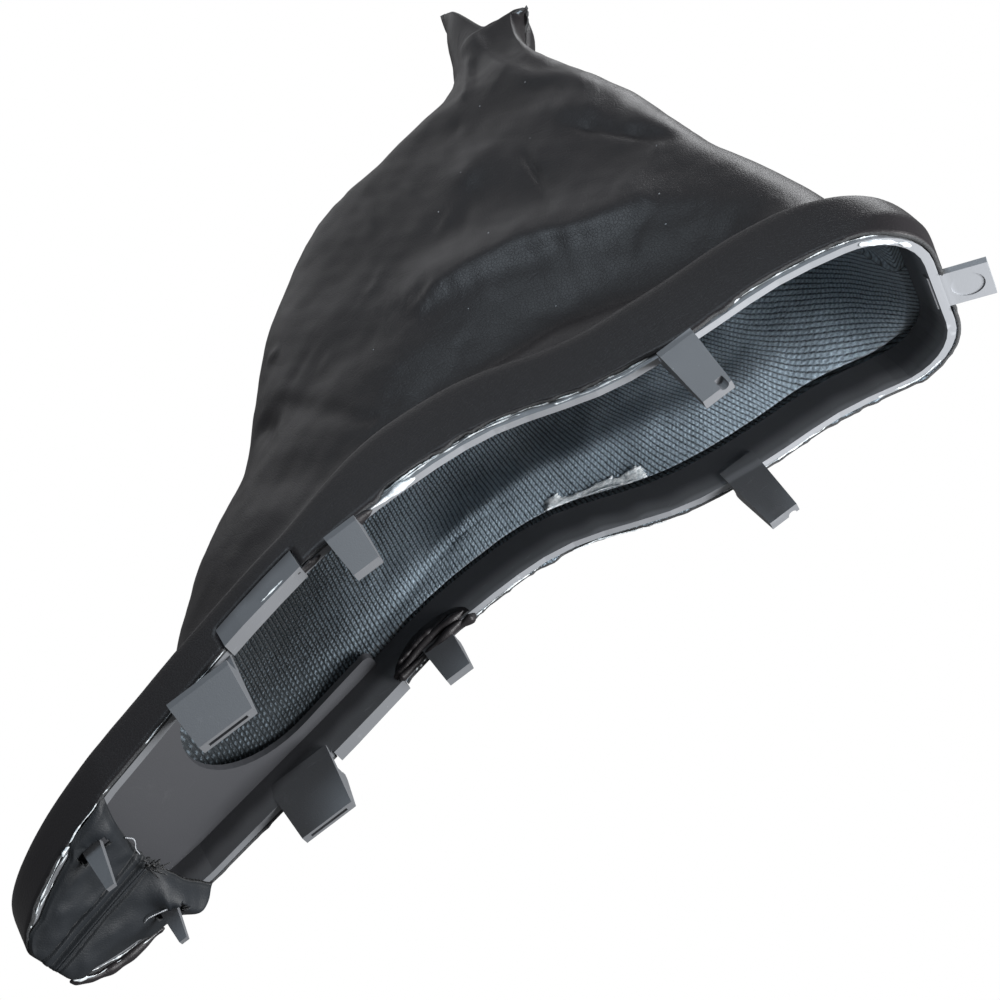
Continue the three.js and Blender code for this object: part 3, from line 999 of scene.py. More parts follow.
@dataclass
class Finishes:
    """All the materials of the boot."""

    leather: bpy.types.Material
    flap: bpy.types.Material
    knit: bpy.types.Material
    edge: bpy.types.Material
    plastic: bpy.types.Material
    glue: bpy.types.Material
    dark_thread: bpy.types.Material
    white_thread: bpy.types.Material

    @classmethod
    def make(cls) -> "Finishes":
        """Makes every material once."""
        flap = Leatherette("flap_leatherette", (0.0060, 0.0076, 0.0092), (0.0155, 0.0190, 0.0240), 1.3, 0.50)
        return cls(Leatherette().material(), flap.material(), RibbedKnit().material(), CutEdge().material(),
                   MouldedPlastic().material(), DriedGlue().material(),
                   TwistedThread("dark_thread", (0.02, 0.021, 0.024)).material(),
                   TwistedThread("white_thread", (0.55, 0.58, 0.62)).material())


def placed(piece: bpy.types.Object) -> bpy.types.Object:
    """Makes a finished soft piece ride on the boot's one body, and returns it."""
    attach(piece, "root")
    return piece


def place_solids(name: str, solids: Iterable[tuple], material: bpy.types.Material) -> None:
    """Makes one piece of several solids.

    Args:
        name: The piece's name.
        solids: Pairs of points, in millimetres from the nose, and faces.
        material: The piece's finish.
    """
    points, faces = merged(solids)
    placed(mesh_object(name, to_metres(points), faces, [material]))


def active_shape() -> tuple:
    """Takes the points and faces of the active object, and deletes the object."""
    model = bpy.context.active_object
    points = np.array([v.co for v in model.data.vertices], float)
    faces = [list(p.vertices) for p in model.data.polygons]
    bpy.data.objects.remove(model, do_unlink=True)
    return points, faces


# Each fold's path, its height along the outward normal, its widths above and below, and its taper
NEAR_FOLDS = (
    Fold(((150, 62), (185, 68), (205, 69), (225, 66), (250, 55), (278, 36), (294, 30)), -5.0, 15, 7, 0.2),
    Fold(((180, 99), (198, 106), (223, 102), (239, 95), (250, 88), (264, 84), (278, 75)), 3.6, 14, 6.5, 0.3),
    Fold(((74, 40), (107, 42), (126, 46), (151, 55), (168, 61)), 1.0, 3.5, 2.2, 0.15),
    Fold(((262, 158), (272, 140), (284, 116), (294, 92)), 1.7, 8, 6),
    Fold(((263, 140), (273, 122), (288, 95)), -0.9, 2.6, 2.0, 0.3),
    Fold(((266, 220), (265, 197), (268, 172), (276, 158), (283, 140)), 1.4, 4, 4, 0.15),
    Fold(((261, 204), (253, 187), (247, 177)), 1.0, 2.2, 2.2, 0.2),
    Fold(((250, 140), (246, 111)), -0.9, 1.8, 1.8, 0.4),
    Fold(((137, 126), (154, 91), (169, 62)), -0.7, 3, 4),
    Fold(((145, 139), (152, 136)), 0.7, 2, 2, 0.4),
    Fold(((133, 119), (135, 105)), -1.6, 5, 5, 0.4),
    Fold(((226, 136), (236, 146), (246, 153)), 1.2, 7, 7, 0.4),
    Fold(((166, 146), (181, 105), (194, 87)), 1.0, 12, 12, 0.4),
)
FAR_FOLDS = (
    Fold(((140, 58), (175, 62), (210, 60), (250, 46), (280, 38)), -3.0, 8, 8, 0.2),
    Fold(((150, 84), (190, 86), (230, 82), (270, 66)), 2.2, 12, 10, 0.2),
    Fold(((180, 120), (220, 108), (262, 92)), 2.6, 16, 14, 0.3),
    Fold(((262, 150), (276, 122), (288, 92)), -1.6, 4, 4, 0.3),
    Fold(((262, 214), (262, 190), (270, 160)), 1.2, 4, 4, 0.2),
    Fold(((215, 165), (240, 140), (252, 112)), -1.4, 5, 5, 0.4),
    Fold(((150, 110), (175, 96), (200, 92)), -1.5, 6, 6, 0.4),
    Fold(((74, 40), (107, 42), (126, 46), (151, 55)), 0.9, 3.5, 2.2, 0.15),
)


@dataclass
class Panel:
    """One sewn half of the bag, from its hem on the frame's wall up to the neck."""

    side: Side
    folds: tuple
    seed: int
    column_step: float = 1.45
    row_steps: tuple = (1.7, 0.8, 1.6)
    wall_rings: int = 4
    fold_rings: int = 8

    def columns(self) -> np.ndarray:
        """Spaces the grid's columns, with one on each edge of a notch."""
        exact = [OUTLINE.arc_at_x(x) for x in SIZES.notch] + [OUTLINE.total - SIZES.tab_half]
        even = np.linspace(0, OUTLINE.total, round(OUTLINE.total / self.column_step))
        clear = [arc for arc in even if min(abs(arc - e) for e in exact) > 0.5 * self.column_step]
        return np.array(sorted(clear + exact))

    def rows(self, surface: BagSurface) -> np.ndarray:
        """Spaces the grid's rows, with one on each ring."""
        rows = [0.0]
        for i, (low, high) in enumerate(zip(surface.knots[:-1], surface.knots[1:])):
            step = self.row_steps[0 if i < self.wall_rings else 1 if i < self.fold_rings else 2]
            rows += list(np.linspace(low, high, max(1, round((high - low) / step)) + 1)[1:])
        return np.array(rows)

    def sheet(self) -> Sheet:
        """Shapes the panel.

        Returns:
            The panel as a closed sheet, with its notches cut.
        """
        surface = BagSurface(self.side)
        arcs, rows = self.columns(), self.rows(surface)
        outer = surface.grid(arcs, rows, 0.0)
        inner = surface.grid(arcs, rows, SKIN)
        normals = -self.side.value * unit(np.cross(np.gradient(outer, axis=1), np.gradient(outer, axis=0)))
        free = smoothstep(rows, surface.knots[self.wall_rings - 1], surface.knots[self.fold_rings])[:, None]
        lift = self.relief(outer, normals, surface, rows)
        lift = np.where(lift < 0, lift * free, lift * (0.15 + 0.85 * free))
        from_seam = np.minimum(arcs, OUTLINE.total - arcs)[None, :]
        lift = lift * smoothstep(from_seam, 0.0, 9.0) - 0.9 * bell(from_seam, 1.3) * free
        moved = lift[:, :, None] * normals
        outer, inner = outer + moved, inner + moved
        for grid in (outer, inner):
            grid[:, :, 1] = self.side.value * np.maximum(self.side.value * grid[:, :, 1], SEAM_HALF_GAP)
        ragged = Ripple(self.seed + 5, 9.0)(outer[0]) * 0.5 + Ripple(self.seed + 6, 2.2)(outer[0]) * 0.25
        ragged = np.clip(ragged, 0, 1.4)
        outer[0, :, 2] -= 0.7 * ragged
        inner[0, :, 2] -= 0.9 * ragged
        row = 0.5 * (rows[:-1] + rows[1:])[:, None]
        arc = 0.5 * (arcs[:-1] + arcs[1:])[None, :]
        low, high = (OUTLINE.arc_at_x(x) for x in SIZES.notch)
        boss = (row < surface.knots[2]) & (arc > low) & (arc < high)
        tab = (row < surface.knots[1]) & (arc > OUTLINE.total - SIZES.tab_half)
        return Sheet(outer, inner, ~(boss | tab), {"fold": lift})

    def relief(self, points: np.ndarray, normals: np.ndarray, surface: BagSurface,
               rows: np.ndarray) -> np.ndarray:
        """Adds up the panel's folds, lumps and fine creases.

        Args:
            points: The grid of the outer face.
            normals: Its outward normals.
            surface: The surface that the grid lies on.
            rows: The rows' distances up the bag.

        Returns:
            The height of the relief at each point.
        """
        height = 0.5 * Ripple(self.seed, 62.0)(points) + 0.16 * Ripple(self.seed + 1, 24.0)(points)
        height += 0.05 * Ripple(self.seed + 2, 9.0)(points)
        start = int(np.searchsorted(rows, surface.knots[self.fold_rings]))
        for fold in (*self.folds, *self.creases()):
            height += fold.lift(points, normals, start)
        return height

    def creases(self) -> Iterable[Fold]:
        """Scatters short fine creases over the panel, mostly along its slope."""
        rng = np.random.default_rng(self.seed + 40)
        for _ in range(34):
            x, z = rng.uniform(110, 290), rng.uniform(62, 190)
            if x < 60 + z * 0.75:
                continue
            turn = math.radians(rng.normal(52, 28))
            half = rng.uniform(5, 13)
            bend = rng.normal(0, 1.5)
            ends = np.array([math.cos(turn), math.sin(turn)]) * half
            middle = (x - bend * math.sin(turn), z + bend * math.cos(turn))
            path = ((x - ends[0], z - ends[1]), middle, (x + ends[0], z + ends[1]))
            height = rng.choice([-1, 1]) * rng.uniform(0.12, 0.4)
            yield Fold(path, height, rng.uniform(1.4, 3), rng.uniform(1.4, 3), 0.45)

    def build(self, finishes: Finishes, node: str, area: float) -> None:
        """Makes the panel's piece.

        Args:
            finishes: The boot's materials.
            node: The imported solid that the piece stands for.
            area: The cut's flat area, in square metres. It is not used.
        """
        name = f"leather_{self.side.name.lower()}"
        piece = self.sheet().mesh(name, (finishes.leather, finishes.knit, finishes.edge))
        placed(piece)
        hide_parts(node)
        log.info("%s has %d faces", name, len(piece.data.polygons))


@dataclass
class NoseFlap:
    """Half of the crumpled flap that closes the underside of the nose."""

    side: Side
    seed: int
    columns: int = 110
    rows: int = 84
    peg_hole: tuple = (25.9, 35.5, 17.8, 22.0)

    def edge_offset(self, x: np.ndarray) -> np.ndarray:
        """Says how far outside the frame's wall the flap's cut edge lies, in millimetres."""
        bare = {Side.NEAR: (3, 8, 24, 29, -1.5), Side.FAR: (2, 5, 17, 22, -1.4)}[self.side]
        return lerp(0.9, bare[4], smoothstep(x, bare[0], bare[1]) * (1 - smoothstep(x, bare[2], bare[3])))

    def sheet(self) -> Sheet:
        """Shapes the flap, with its seam ridge, its crumples and the hole for the peg.

        Returns:
            The flap as a closed sheet.
        """
        edge_arcs = np.linspace(0, OUTLINE.arc_at_x(FLAP_LENGTH), self.columns)
        edge = OUTLINE.at(edge_arcs, self.edge_offset(OUTLINE.at(edge_arcs)[:, 0]))
        share = np.linspace(0, 1, self.columns)[None, :]
        out = np.linspace(0, 1, self.rows)[:, None]
        seam_x = lerp(-0.9, FLAP_LENGTH - FLAP_HOLLOW, share)
        x = lerp(seam_x, edge[None, :, 0], out) - share**2 * FLAP_HOLLOW * out * (1 - out)
        y = np.maximum(out * edge[None, :, 1], SEAM_HALF_GAP)
        z = RIM(np.clip(x, 0, None)) - 1.55
        points = np.stack([x, self.side.value * y, z], 2)
        drop = self.relief(points, x, y, out, share)
        outer, inner = points.copy(), points.copy()
        outer[:, :, 2] -= drop
        inner[:, :, 2] += SKIN - drop
        tuck = smoothstep(out, 0.93, 1.0) * 0.9
        outer[:, :, 2] += tuck
        centre_x, centre_y = (0.25 * (g[:-1, :-1] + g[1:, :-1] + g[:-1, 1:] + g[1:, 1:]) for g in (x, y))
        x0, x1, y0, y1 = self.peg_hole
        hole = (centre_x > x0) & (centre_x < x1) & (centre_y > y0) & (centre_y < y1)
        return Sheet(outer, inner, ~hole, {"fold": drop})

    def relief(self, points: np.ndarray, x: np.ndarray, y: np.ndarray, out: np.ndarray,
               share: np.ndarray) -> np.ndarray:
        """Measures how far the flap bulges down at each point.

        Args:
            points: The flat flap's points.
            x: Their places along the boot.
            y: Their distances from the seam.
            out: Their shares of the way out to the edge.
            share: Their shares of the way back along the flap.

        Returns:
            The bulge, in millimetres.
        """
        held = smoothstep(out, 1.0, 0.8) * smoothstep(share, 0.0, 0.06)
        lengthwise = np.sin(np.pi * np.clip(share * 0.9 + 0.05, 0, 1))
        puff = 1.2 * np.sin(np.pi * np.clip(out, 0, 1)) ** 1.3 * lengthwise
        row = STITCH_ROWS[self.side]
        ridge = 1.1 * bell(y - 0.5, 0.5) - 1.1 * bell(y - row, 0.42)
        ridge += 0.5 * smoothstep(y, row + 0.6, row - 0.6) - 0.6 * bell(y - 1.7, 0.6)
        crumple = 0.30 * Ripple(self.seed, 15.0)(points) + 0.10 * Ripple(self.seed + 1, 6.5)(points)
        rng = np.random.default_rng(self.seed + 9)
        pleats = np.zeros_like(y)
        gap_x = x - 0.5 * (self.peg_hole[0] + self.peg_hole[1])
        gap_y = y - 0.5 * (self.peg_hole[2] + self.peg_hole[3])
        distance = np.hypot(gap_x, gap_y)
        angle = np.arctan2(gap_y, gap_x)
        for _ in range(9):
            at, wide = rng.uniform(-math.pi, math.pi), rng.uniform(0.12, 0.3)
            turn = np.angle(np.exp(1j * (angle - at - distance * rng.uniform(-0.03, 0.03))))
            height = rng.uniform(0.2, 0.6)
            pleats += height * bell(turn, wide) * np.exp(-distance / rng.uniform(6, 12))
        pinch = -0.8 * bell(distance, 6.0)
        bulge = 5.2 if self.side is Side.FAR else 1.0
        roll = bulge * bell(share - 0.9, 0.085) * smoothstep(out, 0.2, 0.62)
        rolled = roll * (1 - smoothstep(out, 0.97, 1.03)) - 1.2 * smoothstep(share, 0.95, 1.0)
        free = smoothstep(y, 0.0, row + 3.0)
        return held * (puff + (crumple + pleats + pinch) * free) + rolled + ridge * smoothstep(share, 0, 0.05)

    def build(self, finishes: Finishes) -> None:
        """Makes the flap's piece."""
        name = f"nose_flap_{self.side.name.lower()}"
        piece = self.sheet().mesh(name, (finishes.flap, finishes.knit, finishes.edge))
        placed(piece)


@dataclass
class Stitching:
    """Rows of stitches along both sides of the flap's seam."""

    length: float = 2.9
    pitch: float = 3.7
    radius: float = 0.36

    def stitch(self) -> tuple:
        """Models one stitch: a short thread whose ends dip into the leather.

        Returns:
            Its points, with its length along X and up along Z, and its faces.
        """
        sideways = (0, math.pi / 2, 0)
        bpy.ops.mesh.primitive_uv_sphere_add(segments=10, ring_count=12, radius=1, rotation=sideways)
        bpy.ops.object.transform_apply(location=False, rotation=True, scale=False)
        points, faces = active_shape()
        points *= np.array([self.length / 2, self.radius, self.radius * 0.85])
        points[:, 2] -= 0.5 * self.radius * (2 * points[:, 0] / self.length) ** 2
        return points, faces

    def along(self, line: np.ndarray, outward: np.ndarray) -> Iterable[tuple]:
        """Sets stitches along a line.

        Args:
            line: Points of the line, in millimetres.
            outward: The direction out of the leather.

        Yields:
            Points and faces of each stitch.
        """
        points, faces = self.stitch()
        arc = arc_lengths(line)
        for start in np.arange(self.pitch / 2, arc[-1] - self.pitch / 2, self.pitch):
            place = np.array([np.interp(start, arc, axis) for axis in line.T])
            ahead = np.array([np.interp(start + 0.5, arc, axis) for axis in line.T])
            forward = unit(ahead - place)
            up = unit(outward - forward * (outward @ forward))
            turned = points @ np.stack([forward, np.cross(up, forward), up])
            yield place + turned, faces


@dataclass(frozen=True)
class Strand:
    """A tube of uneven thickness along a path: a thread, a roll of leather or a run of glue.

    Attributes:
        path: Points of its line, in millimetres from the nose.
        radius: Its radius.
        uneven: The share by which the radius varies.
        wander: How far it strays from the path.
        flatten: Its thickness, as a share of its width.
        seed: The seed of its lumps.
        step: The distance between its rings.
        segments: The points round it.
    """

    path: tuple
    radius: float
    uneven: float = 0.0
    wander: float = 0.0
    flatten: float = 1.0
    seed: int = 0
    step: float = 0.5
    segments: int = 10

    def solid(self) -> tuple:
        """Shapes the strand.

        Returns:
            Its points, in millimetres from the nose, and its faces.
        """
        knots = np.array(self.path, float)
        length = float(np.linalg.norm(np.diff(knots, axis=0), axis=1).sum())
        line = dense_path(knots, max(6, round(length / self.step)))
        along = np.linspace(0, 1, len(line))
        end = np.clip(np.minimum(along, 1 - along) * length / max(self.radius, 0.1), 0.12, 1) ** 0.5
        lumps = 0.7 * Ripple(self.seed, 9.0 * self.radius + 3)(line)
        lumps += 0.3 * Ripple(self.seed + 1, 4.0 * self.radius)(line)
        radii = self.radius * end * np.clip(1 + self.uneven * lumps, 0.2, 2.2)
        sway = np.stack([Ripple(self.seed + k, 9.0 * self.radius + 7)(line) for k in (2, 3, 4)], 1)
        return tube(line + self.wander * sway * end[:, None], radii, self.segments, self.flatten)


def on_rim(x: float, side: Side, offset: float, drop: float = 0.0) -> tuple:
    """Finds a place on the frame's rim.

    Args:
        x: Distance from the nose along the boot.
        side: The near or the far wall.
        offset: Distance outward from the wall's outer face.
        drop: Distance below the rim.

    Returns:
        The place, in millimetres from the nose.
    """
    point = OUTLINE.at(np.array([OUTLINE.arc_at_x(x)]), offset)[0]
    return (float(point[0]), side.value * float(point[1]), float(RIM(point[0])) - drop)


def rim_run(start: float, end: float, side: Side, offset: float, drop: float = 0.0, count: int = 7) -> tuple:
    """Finds a row of places along the frame's rim.

    Args:
        start: The first place's distance from the nose.
        end: The last place's.
        side: The near or the far wall.
        offset: Distance outward from the wall's outer face.
        drop: Distance below the rim.
        count: How many places there are.

    Returns:
        The places, in millimetres from the nose.
    """
    return tuple(on_rim(x, side, offset, drop) for x in np.linspace(start, end, count))


class GlueTraces:
    """Dried glue on the rim, along the flap's edges and on the knit."""

    smear_path = ((189, 54), (198, 50), (207, 46.5), (217, 44))

    def strands(self) -> Iterable[Strand]:
        """Lists the runs and drops of glue."""
        # Start, end, wall, distances out and down, radius and unevenness
        runs = (
            (5, 27, Side.NEAR, 0.6, 0.15, 0.14, 1.0), (7, 25, Side.NEAR, -0.6, 0.1, 0.13, 1.0),
            (28, 46, Side.NEAR, 1.3, 0.2, 0.13, 1.0), (1.5, 17, Side.FAR, 0.1, 0.1, 0.2, 1.0),
            (3, 24, Side.FAR, 1.6, 0.4, 0.14, 1.0), (143, 162, Side.NEAR, -0.5, 0.08, 0.8, 0.6),
            (146, 178, Side.NEAR, 0.25, -1.9, 0.32, 0.9), (150, 196, Side.NEAR, 0.2, -1.2, 0.2, 1.0),
            (180, 236, Side.NEAR, 0.25, -2.1, 0.22, 1.0), (205, 233, Side.NEAR, 0.2, -0.8, 0.16, 1.0),
            (252, 302, Side.NEAR, 0.25, -1.4, 0.22, 1.0), (296, 309, Side.NEAR, -1.3, 0.08, 0.6, 0.8),
            (108, 116, Side.NEAR, 2.6, -0.2, 0.2, 1.0), (150, 176, Side.FAR, 0.3, 0.02, 0.2, 1.0),
            (232, 268, Side.FAR, 0.1, 0.03, 0.25, 1.0), (186, 214, Side.FAR, 1.0, 0.3, 0.18, 1.0),
            (285, 305, Side.FAR, -0.6, 0.05, 0.22, 1.0), (60, 92, Side.NEAR, 1.2, 0.15, 0.1, 1.0),
        )
        for k, (start, end, side, offset, drop, radius, uneven) in enumerate(runs):
            yield Strand(rim_run(start, end, side, offset, drop, 9), radius, uneven, 0.12, 0.6, 301 + 6 * k)
        yield Strand(rim_run(24.5, 27.5, Side.NEAR, 0.9, 0.9, 4), 0.65, 0.6, 0.2, 0.6, 290)
        yield Strand(rim_run(0.6, 3.2, Side.FAR, 0.9, 0.8, 4), 0.7, 0.6, 0.2, 0.6, 296)
        for k, x in enumerate((126.9, 128.6, 130.4, 133.6, 135.2)):
            drop = 2.0 + 0.5 * (k % 2)
            yield Strand(rim_run(x, x + 0.9, Side.FAR, -2.8, drop, 3), 0.3, 0.3, 0.1, 0.8, 620 + k)

    def smear(self, knit: Sheet) -> Sheet:
        """Shapes the smear on the knit inside the far panel.

        Args:
            knit: The far panel's sheet.

        Returns:
            The smear as a closed sheet.
        """
        path = dense_path(self.smear_path, 40)
        face = knit.inner
        gap = np.linalg.norm(face[:, :, None, (0, 2)] - path[None, None], axis=3).min(axis=2)
        inside = (face[:, :, 1] < 31.0) & (gap < 6)
        reach = 2.6 + 0.7 * Ripple(340, 8.0)(face) + 0.35 * Ripple(341, 4.0)(face)
        height = np.where(inside, np.clip((reach - gap) * 0.4, 0, 0.5), 0)
        high = height > 0
        keep = high[:-1, :-1] & high[1:, :-1] & high[:-1, 1:] & high[1:, 1:]
        inward = np.array([0.0, -1.0, 0.0])
        lumps = 1 + 0.3 * Ripple(342, 4.0)(face)
        top = face + inward * (0.12 + height * np.clip(lumps, 0.3, 2))[:, :, None]
        return Sheet(top, face + inward * 0.04, keep)

    def build(self, finishes: Finishes, knit: Sheet) -> None:
        """Makes the glue's pieces.

        Args:
            finishes: The boot's materials.
            knit: The far panel's sheet.
        """
        place_solids("glue_runs", (strand.solid() for strand in self.strands()), finishes.glue)
        placed(self.smear(knit).mesh("glue_smear", [finishes.glue] * 3))


class LooseThreads:
    """Frayed ends of the seam's threads at the nose."""

    def dark(self) -> Iterable[Strand]:
        """Lists the dark ends behind the flap's seam."""
        rng = np.random.default_rng(401)
        root = np.array([FLAP_LENGTH - FLAP_HOLLOW - 0.8, 1.0, float(RIM(37.0)) - 2.4])
        for k in range(13):
            start = root + rng.normal(0, 1, 3) * np.array([0.7, 1.9, 0.2])
            way = unit(np.array([rng.uniform(0.2, 1.2), rng.normal(0, 1.1), rng.uniform(-0.9, 0.1)]))
            bend = rng.normal(0, 0.9, 3)
            length = rng.uniform(2.0, 5.5)
            middle = start + way * length * 0.5 + bend * 0.6
            path = (tuple(start), tuple(middle), tuple(start + way * length + bend))
            yield Strand(path, rng.uniform(0.16, 0.3), 0.15, 0.1, 1.0, 410 + k, 0.3, 6)

    def white(self) -> Iterable[Strand]:
        """Lists the pale ends at the flap's rear corner and by the far peg."""
        level = float(RIM(40.0)) - 1.9
        corner = ((38.0, -13.4, level), (39.4, -11.4, level - 0.7), (37.6, -7.0, level - 0.6),
                  (36.9, -3.4, level))
        yield Strand(corner, 0.22, 0.2, 0.1, 1.0, 431, 0.3, 6)
        low = float(RIM(30.0)) - 5.2
        by_peg = ((24.2, 17.2, low + 2.2), (23.4, 15.8, low + 0.6), (25.4, 14.6, low), (28.4, 15.6, low),
                  (31.2, 17.0, low + 0.4))
        yield Strand(by_peg, 0.2, 0.2, 0.1, 1.0, 432, 0.3, 6)

    def build(self, finishes: Finishes) -> None:
        """Makes the threads' pieces."""
        place_solids("frayed_threads", (strand.solid() for strand in self.dark()), finishes.dark_thread)
        place_solids("pale_threads", (strand.solid() for strand in self.white()), finishes.white_thread)


class TurnedLeather:
    """Leather that wraps over the rim beside the middle clips."""

    def rolls(self) -> Iterable[Strand]:
        """Lists the rolls on the rim."""
        # Place on the rim, radius, unevenness, wander, flatness, seed and sides
        rolls = (
            ((117.6, 128.0, Side.NEAR, -1.0, 0.1, 5), 1.5, 0.3, 0.3, 0.6, 501, 16),
            ((119.0, 126.0, Side.NEAR, 0.4, 0.5, 5), 0.8, 0.4, 0.3, 0.7, 508, 14),
            ((137.0, 147.0, Side.NEAR, -0.6, 0.4, 5), 1.6, 0.3, 0.3, 0.65, 502, 16),
            ((120.5, 149.0, Side.FAR, -3.5, -1.4), 2.0, 0.3, 0.45, 0.85, 503, 18),
            ((121.5, 147.0, Side.FAR, -3.2, 0.7), 1.3, 0.4, 0.4, 0.8, 504, 16),
            ((123.5, 144.0, Side.FAR, -4.4, -3.4), 0.9, 0.5, 0.4, 0.7, 505, 14),
            ((138.0, 151.0, Side.FAR, -0.8, 0.1), 1.5, 0.35, 0.3, 0.7, 507, 14),
            ((0.8, 25.0, Side.FAR, 3.0, -0.4, 9), 1.5, 0.35, 0.3, 0.8, 506, 14),
        )
        for run, radius, uneven, wander, flatten, seed, segments in rolls:
            yield Strand(rim_run(*run), radius, uneven, wander, flatten, seed, 0.4, segments)

    def lining(self) -> Sheet:
        """Shapes the dark leather that shows through the window in the far wall.

        Returns:
            A thin lens-shaped sheet on the wall's inner face.
        """
        along = np.linspace(0, 1, 60)
        up = np.linspace(0, 1, 26)
        x = lerp(120.5, 150.5, along)
        base = OUTLINE.at(np.array([OUTLINE.arc_at_x(v) for v in x]), -2.56)
        top = 8.2 * np.sin(np.pi * along) ** 0.42 * lerp(1.0, 0.82, along)
        z = RIM(x)[None, :] + 0.6 + up[:, None] * top[None, :]
        y = np.broadcast_to(base[:, 1][None, :], z.shape)
        face = np.stack([np.broadcast_to(base[:, 0][None, :], z.shape), y, z], 2)
        bulge = 0.35 * np.sin(np.pi * up)[:, None] * np.sin(np.pi * along)[None, :]
        bulge = bulge + 0.1 * Ripple(520, 7.0)(face)
        shown = face - np.array([0, 1.0, 0]) * (0.12 + np.clip(bulge, 0, 1))[:, :, None]
        return Sheet(shown, face, np.ones((len(up) - 1, len(along) - 1), bool), {"fold": -2 + 0 * bulge})

    def build(self, finishes: Finishes) -> None:
        """Makes the pieces."""
        place_solids("turned_leather", (roll.solid() for roll in self.rolls()), finishes.leather)
        placed(self.lining().mesh("window_leather", (finishes.leather, finishes.leather, finishes.edge)))


@dataclass
class NeckSeam:
    """The frayed seam allowance that stands out behind the neck."""

    rows: int = 60
    width: float = 2.6

    def sheet(self, panel: Panel) -> Sheet:
        """Shapes the allowance along the rear seam, from the neck's lip down."""
        surface = BagSurface(panel.side)
        levels = np.linspace(surface.knots[-1] - 26, surface.knots[-1] - 0.5, self.rows)
        seam = surface.grid(np.array([OUTLINE.total]), levels, 0.4)[:, 0]
        seam[:, 1] = 0
        out = np.linspace(0, 1, 12)
        fade = smoothstep(np.linspace(0, 1, self.rows), 0, 0.3)
        fray = 1 + 0.16 * Ripple(601, 1.8)(seam)
        reach = (self.width * fade * fray)[:, None] * out[None, :]
        points = seam[:, None] + reach[:, :, None] * np.array([0.9, 0, 0.3])
        sway = 0.35 * np.sin(seam[:, 2] / 3.2)[:, None] * out[None, :]
        points[:, :, 1] += sway
        half = np.array([0, 0.75, 0])
        return Sheet(points + half, points - half, np.ones((self.rows - 1, 11), bool), {"fold": 0 * reach})

    def build(self, finishes: Finishes, panel: Panel) -> None:
        """Makes the allowance's piece.

        Args:
            finishes: The boot's materials.
            panel: The panel whose rear seam it follows.
        """
        piece = self.sheet(panel).mesh("neck_seam", (finishes.leather, finishes.leather, finishes.edge))
        placed(piece)


@dataclass
class Lint:
    """White specks on the near panel."""

    count: int = 16

    def build(self, finishes: Finishes, sheet: Sheet) -> None:
        """Makes the specks.

        Args:
            finishes: The boot's materials.
            sheet: The near panel's sheet.
        """
        rng = np.random.default_rng(701)
        bpy.ops.mesh.primitive_ico_sphere_add(subdivisions=2, radius=1)
        shape, faces = active_shape()
        rows, columns = sheet.outer.shape[:2]
        specks = []
        for _ in range(self.count):
            row = rng.integers(rows // 5, rows * 3 // 4)
            column = rng.integers(columns // 3, columns * 9 // 10)
            size = rng.uniform(0.13, 0.33) * np.array([1.0, 0.6, 0.8])
            specks.append((sheet.outer[row, column] + shape * size, faces))
        place_solids("lint", specks, finishes.white_thread)


def seam_lines(flaps: dict) -> list:
    """Finds the lines of stitches on both halves of the flap.

    Args:
        flaps: The halves' sheets, by side.

    Returns:
        One line of points for each row of stitches.
    """
    lines = []
    for side, sheet in flaps.items():
        at = STITCH_ROWS[side]
        rows = np.argmin(np.abs(np.abs(sheet.outer[:, :, 1]) - at), axis=0)
        line = sheet.outer[rows, np.arange(sheet.outer.shape[1])]
        line[:, 1] = side.value * at
        clear = (line[:, 0] > 3.5) & (line[:, 0] < FLAP_LENGTH - FLAP_HOLLOW - 1.5)
        lines.append(line[clear] - np.array([0, 0, 0.1]))
    return lines


@dataclass(frozen=True)
class Viewpoint:
    """The photograph's camera."""

    place: tuple = (0.0084, -0.4461, -0.3453)
    right: tuple = (0.7982, 0.3884, -0.4605)
    ahead: tuple = (0.0127, 0.7535, 0.6574)
    lens: float = 73.12
    sensor: float = 36.0

    def build(self) -> bpy.types.Object:
        """Makes the scene's camera."""
        data = bpy.data.cameras.new("camera")
        data.lens, data.sensor_width = self.lens, self.sensor
        data.clip_start, data.clip_end = 0.01, 20
        camera = bpy.data.objects.new("camera", data)
        bpy.context.scene.collection.objects.link(camera)
        back = -Vector(self.ahead).normalized()
        right = Vector(self.right)
        right = (right - back * right.dot(back)).normalized()
        up = back.cross(right)
        turn = Matrix((right, up, back)).transposed().to_4x4()
        camera.matrix_world = Matrix.Translation(self.place) @ turn
        bpy.context.scene.camera = camera
        return camera


@dataclass(frozen=True)
class SoftLight:
    """A square soft light that points at the boot."""

    name: str
    place: tuple
    size: float
    power: float
    colour: tuple = (1.0, 1.0, 1.0)
    target: tuple = (0.0, 0.0, 0.08)

    def build(self) -> bpy.types.Object:
        """Makes the light."""
        data = bpy.data.lights.new(self.name, "AREA")
        data.size, data.energy, data.color = self.size, self.power, self.colour
        light = bpy.data.objects.new(self.name, data)
        bpy.context.scene.collection.objects.link(light)
        light.location = self.place
        light.rotation_euler = (Vector(self.target) - Vector(self.place)).to_track_quat("-Z", "Y").to_euler()
        return light


# Each light's place, size, power in watts and colour
LIGHTS = (
    SoftLight("under", (0.36, 0.02, -0.42), 0.30, 7.6),
    SoftLight("side", (0.10, -1.0, 0.24), 0.22, 4.4, (0.78, 0.90, 1.0)),
    SoftLight("rear", (0.85, -0.02, 0.80), 0.5, 6.0, (0.97, 0.98, 1.0)),
    SoftLight("top", (0.0, -0.15, 1.10), 0.7, 1.5, (0.97, 0.98, 1.0)),
)
AMBIENT = 0.22


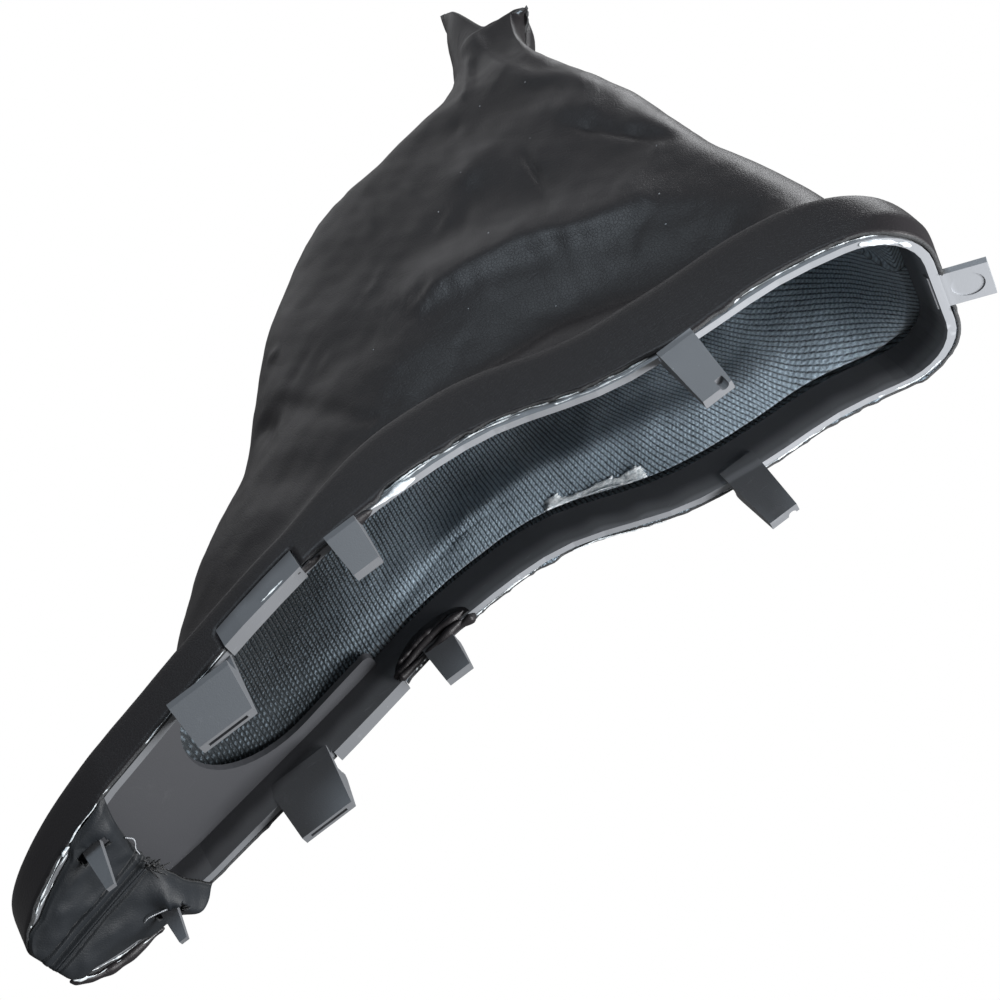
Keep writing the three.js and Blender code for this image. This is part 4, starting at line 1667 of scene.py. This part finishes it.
class Studio:
    """White surroundings, a floor that is seen from above only, soft lights and the camera."""

    def build(self) -> None:
        """Makes the studio."""
        self._world()
        self._floor()
        for light in LIGHTS:
            light.build()
        Viewpoint().build()
        bpy.context.scene.view_settings.view_transform = "Standard"

    def _world(self) -> None:
        """Makes a world that looks white and lights the boot softly."""
        world = bpy.data.worlds.new("studio")
        bpy.context.scene.world = world
        world.use_nodes = True
        tree = world.node_tree
        background = tree.nodes["Background"]
        background.inputs["Color"].default_value = (1, 1, 1, 1)
        path = tree.nodes.new("ShaderNodeLightPath")
        strength = tree.nodes.new("ShaderNodeMapRange")
        strength.inputs["To Min"].default_value = AMBIENT
        strength.inputs["To Max"].default_value = 1.0
        tree.links.new(path.outputs["Is Camera Ray"], strength.inputs["Value"])
        tree.links.new(strength.outputs[0], background.inputs["Strength"])

    def _floor(self) -> bpy.types.Object:
        """Makes the floor, which shows and takes shadows only from above."""
        bpy.ops.mesh.primitive_plane_add(size=4, location=(0, 0, -0.0004))
        floor = bpy.context.active_object
        floor.name = "floor"
        graph = Graph("floor")
        graph.finish(Base_Color=(0.93, 0.93, 0.93, 1), Roughness=0.9)
        back = graph.add("ShaderNodeNewGeometry", output="Backfacing")
        seen = graph.add("ShaderNodeLightPath", output="Is Camera Ray")
        clear = graph.add("ShaderNodeBsdfTransparent")
        inputs = {0: seen * (1 - back), 1: clear, 2: Value(graph, graph.shader.outputs[0])}
        mixed = graph.add("ShaderNodeMixShader", inputs)
        graph.tree.links.new(mixed.socket, graph.output.inputs["Surface"])
        floor.data.materials.append(graph.material)
        return floor


@dataclass
class HandbrakeBoot:
    """The whole boot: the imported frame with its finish, and the soft pieces on it."""

    finishes: Finishes

    def build(self) -> None:
        """Makes every piece."""
        self._frame()
        near, far = Panel(Side.NEAR, NEAR_FOLDS, 11), Panel(Side.FAR, FAR_FOLDS, 23)
        near.build(self.finishes, "boot_panel_near", 0.0425)
        far.build(self.finishes, "boot_panel_far", 0.043)
        GlueTraces().build(self.finishes, far.sheet())
        LooseThreads().build(self.finishes)
        TurnedLeather().build(self.finishes)
        NeckSeam().build(self.finishes, far)
        Lint().build(self.finishes, near.sheet())
        flaps = {side: NoseFlap(side, 70 + side.value) for side in Side}
        for flap in flaps.values():
            flap.build(self.finishes)
        self._stitches({side: flap.sheet() for side, flap in flaps.items()})

    def _frame(self) -> None:
        """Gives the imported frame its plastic."""
        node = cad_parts["base_frame"]
        node.data.materials.clear()
        node.data.materials.append(self.finishes.plastic)

    def _stitches(self, sheets: dict) -> None:
        """Sews the flap's halves."""
        work = Stitching()
        solids = [solid for line in seam_lines(sheets) for solid in work.along(line, np.array([0, 0, -1.0]))]
        place_solids("seam_thread", solids, self.finishes.dark_thread)


def main() -> None:
    """Builds the boot in its studio."""
    logging.basicConfig(level=logging.INFO)
    Studio().build()
    HandbrakeBoot(Finishes.make()).build()


if __name__ == "__main__":
    main()
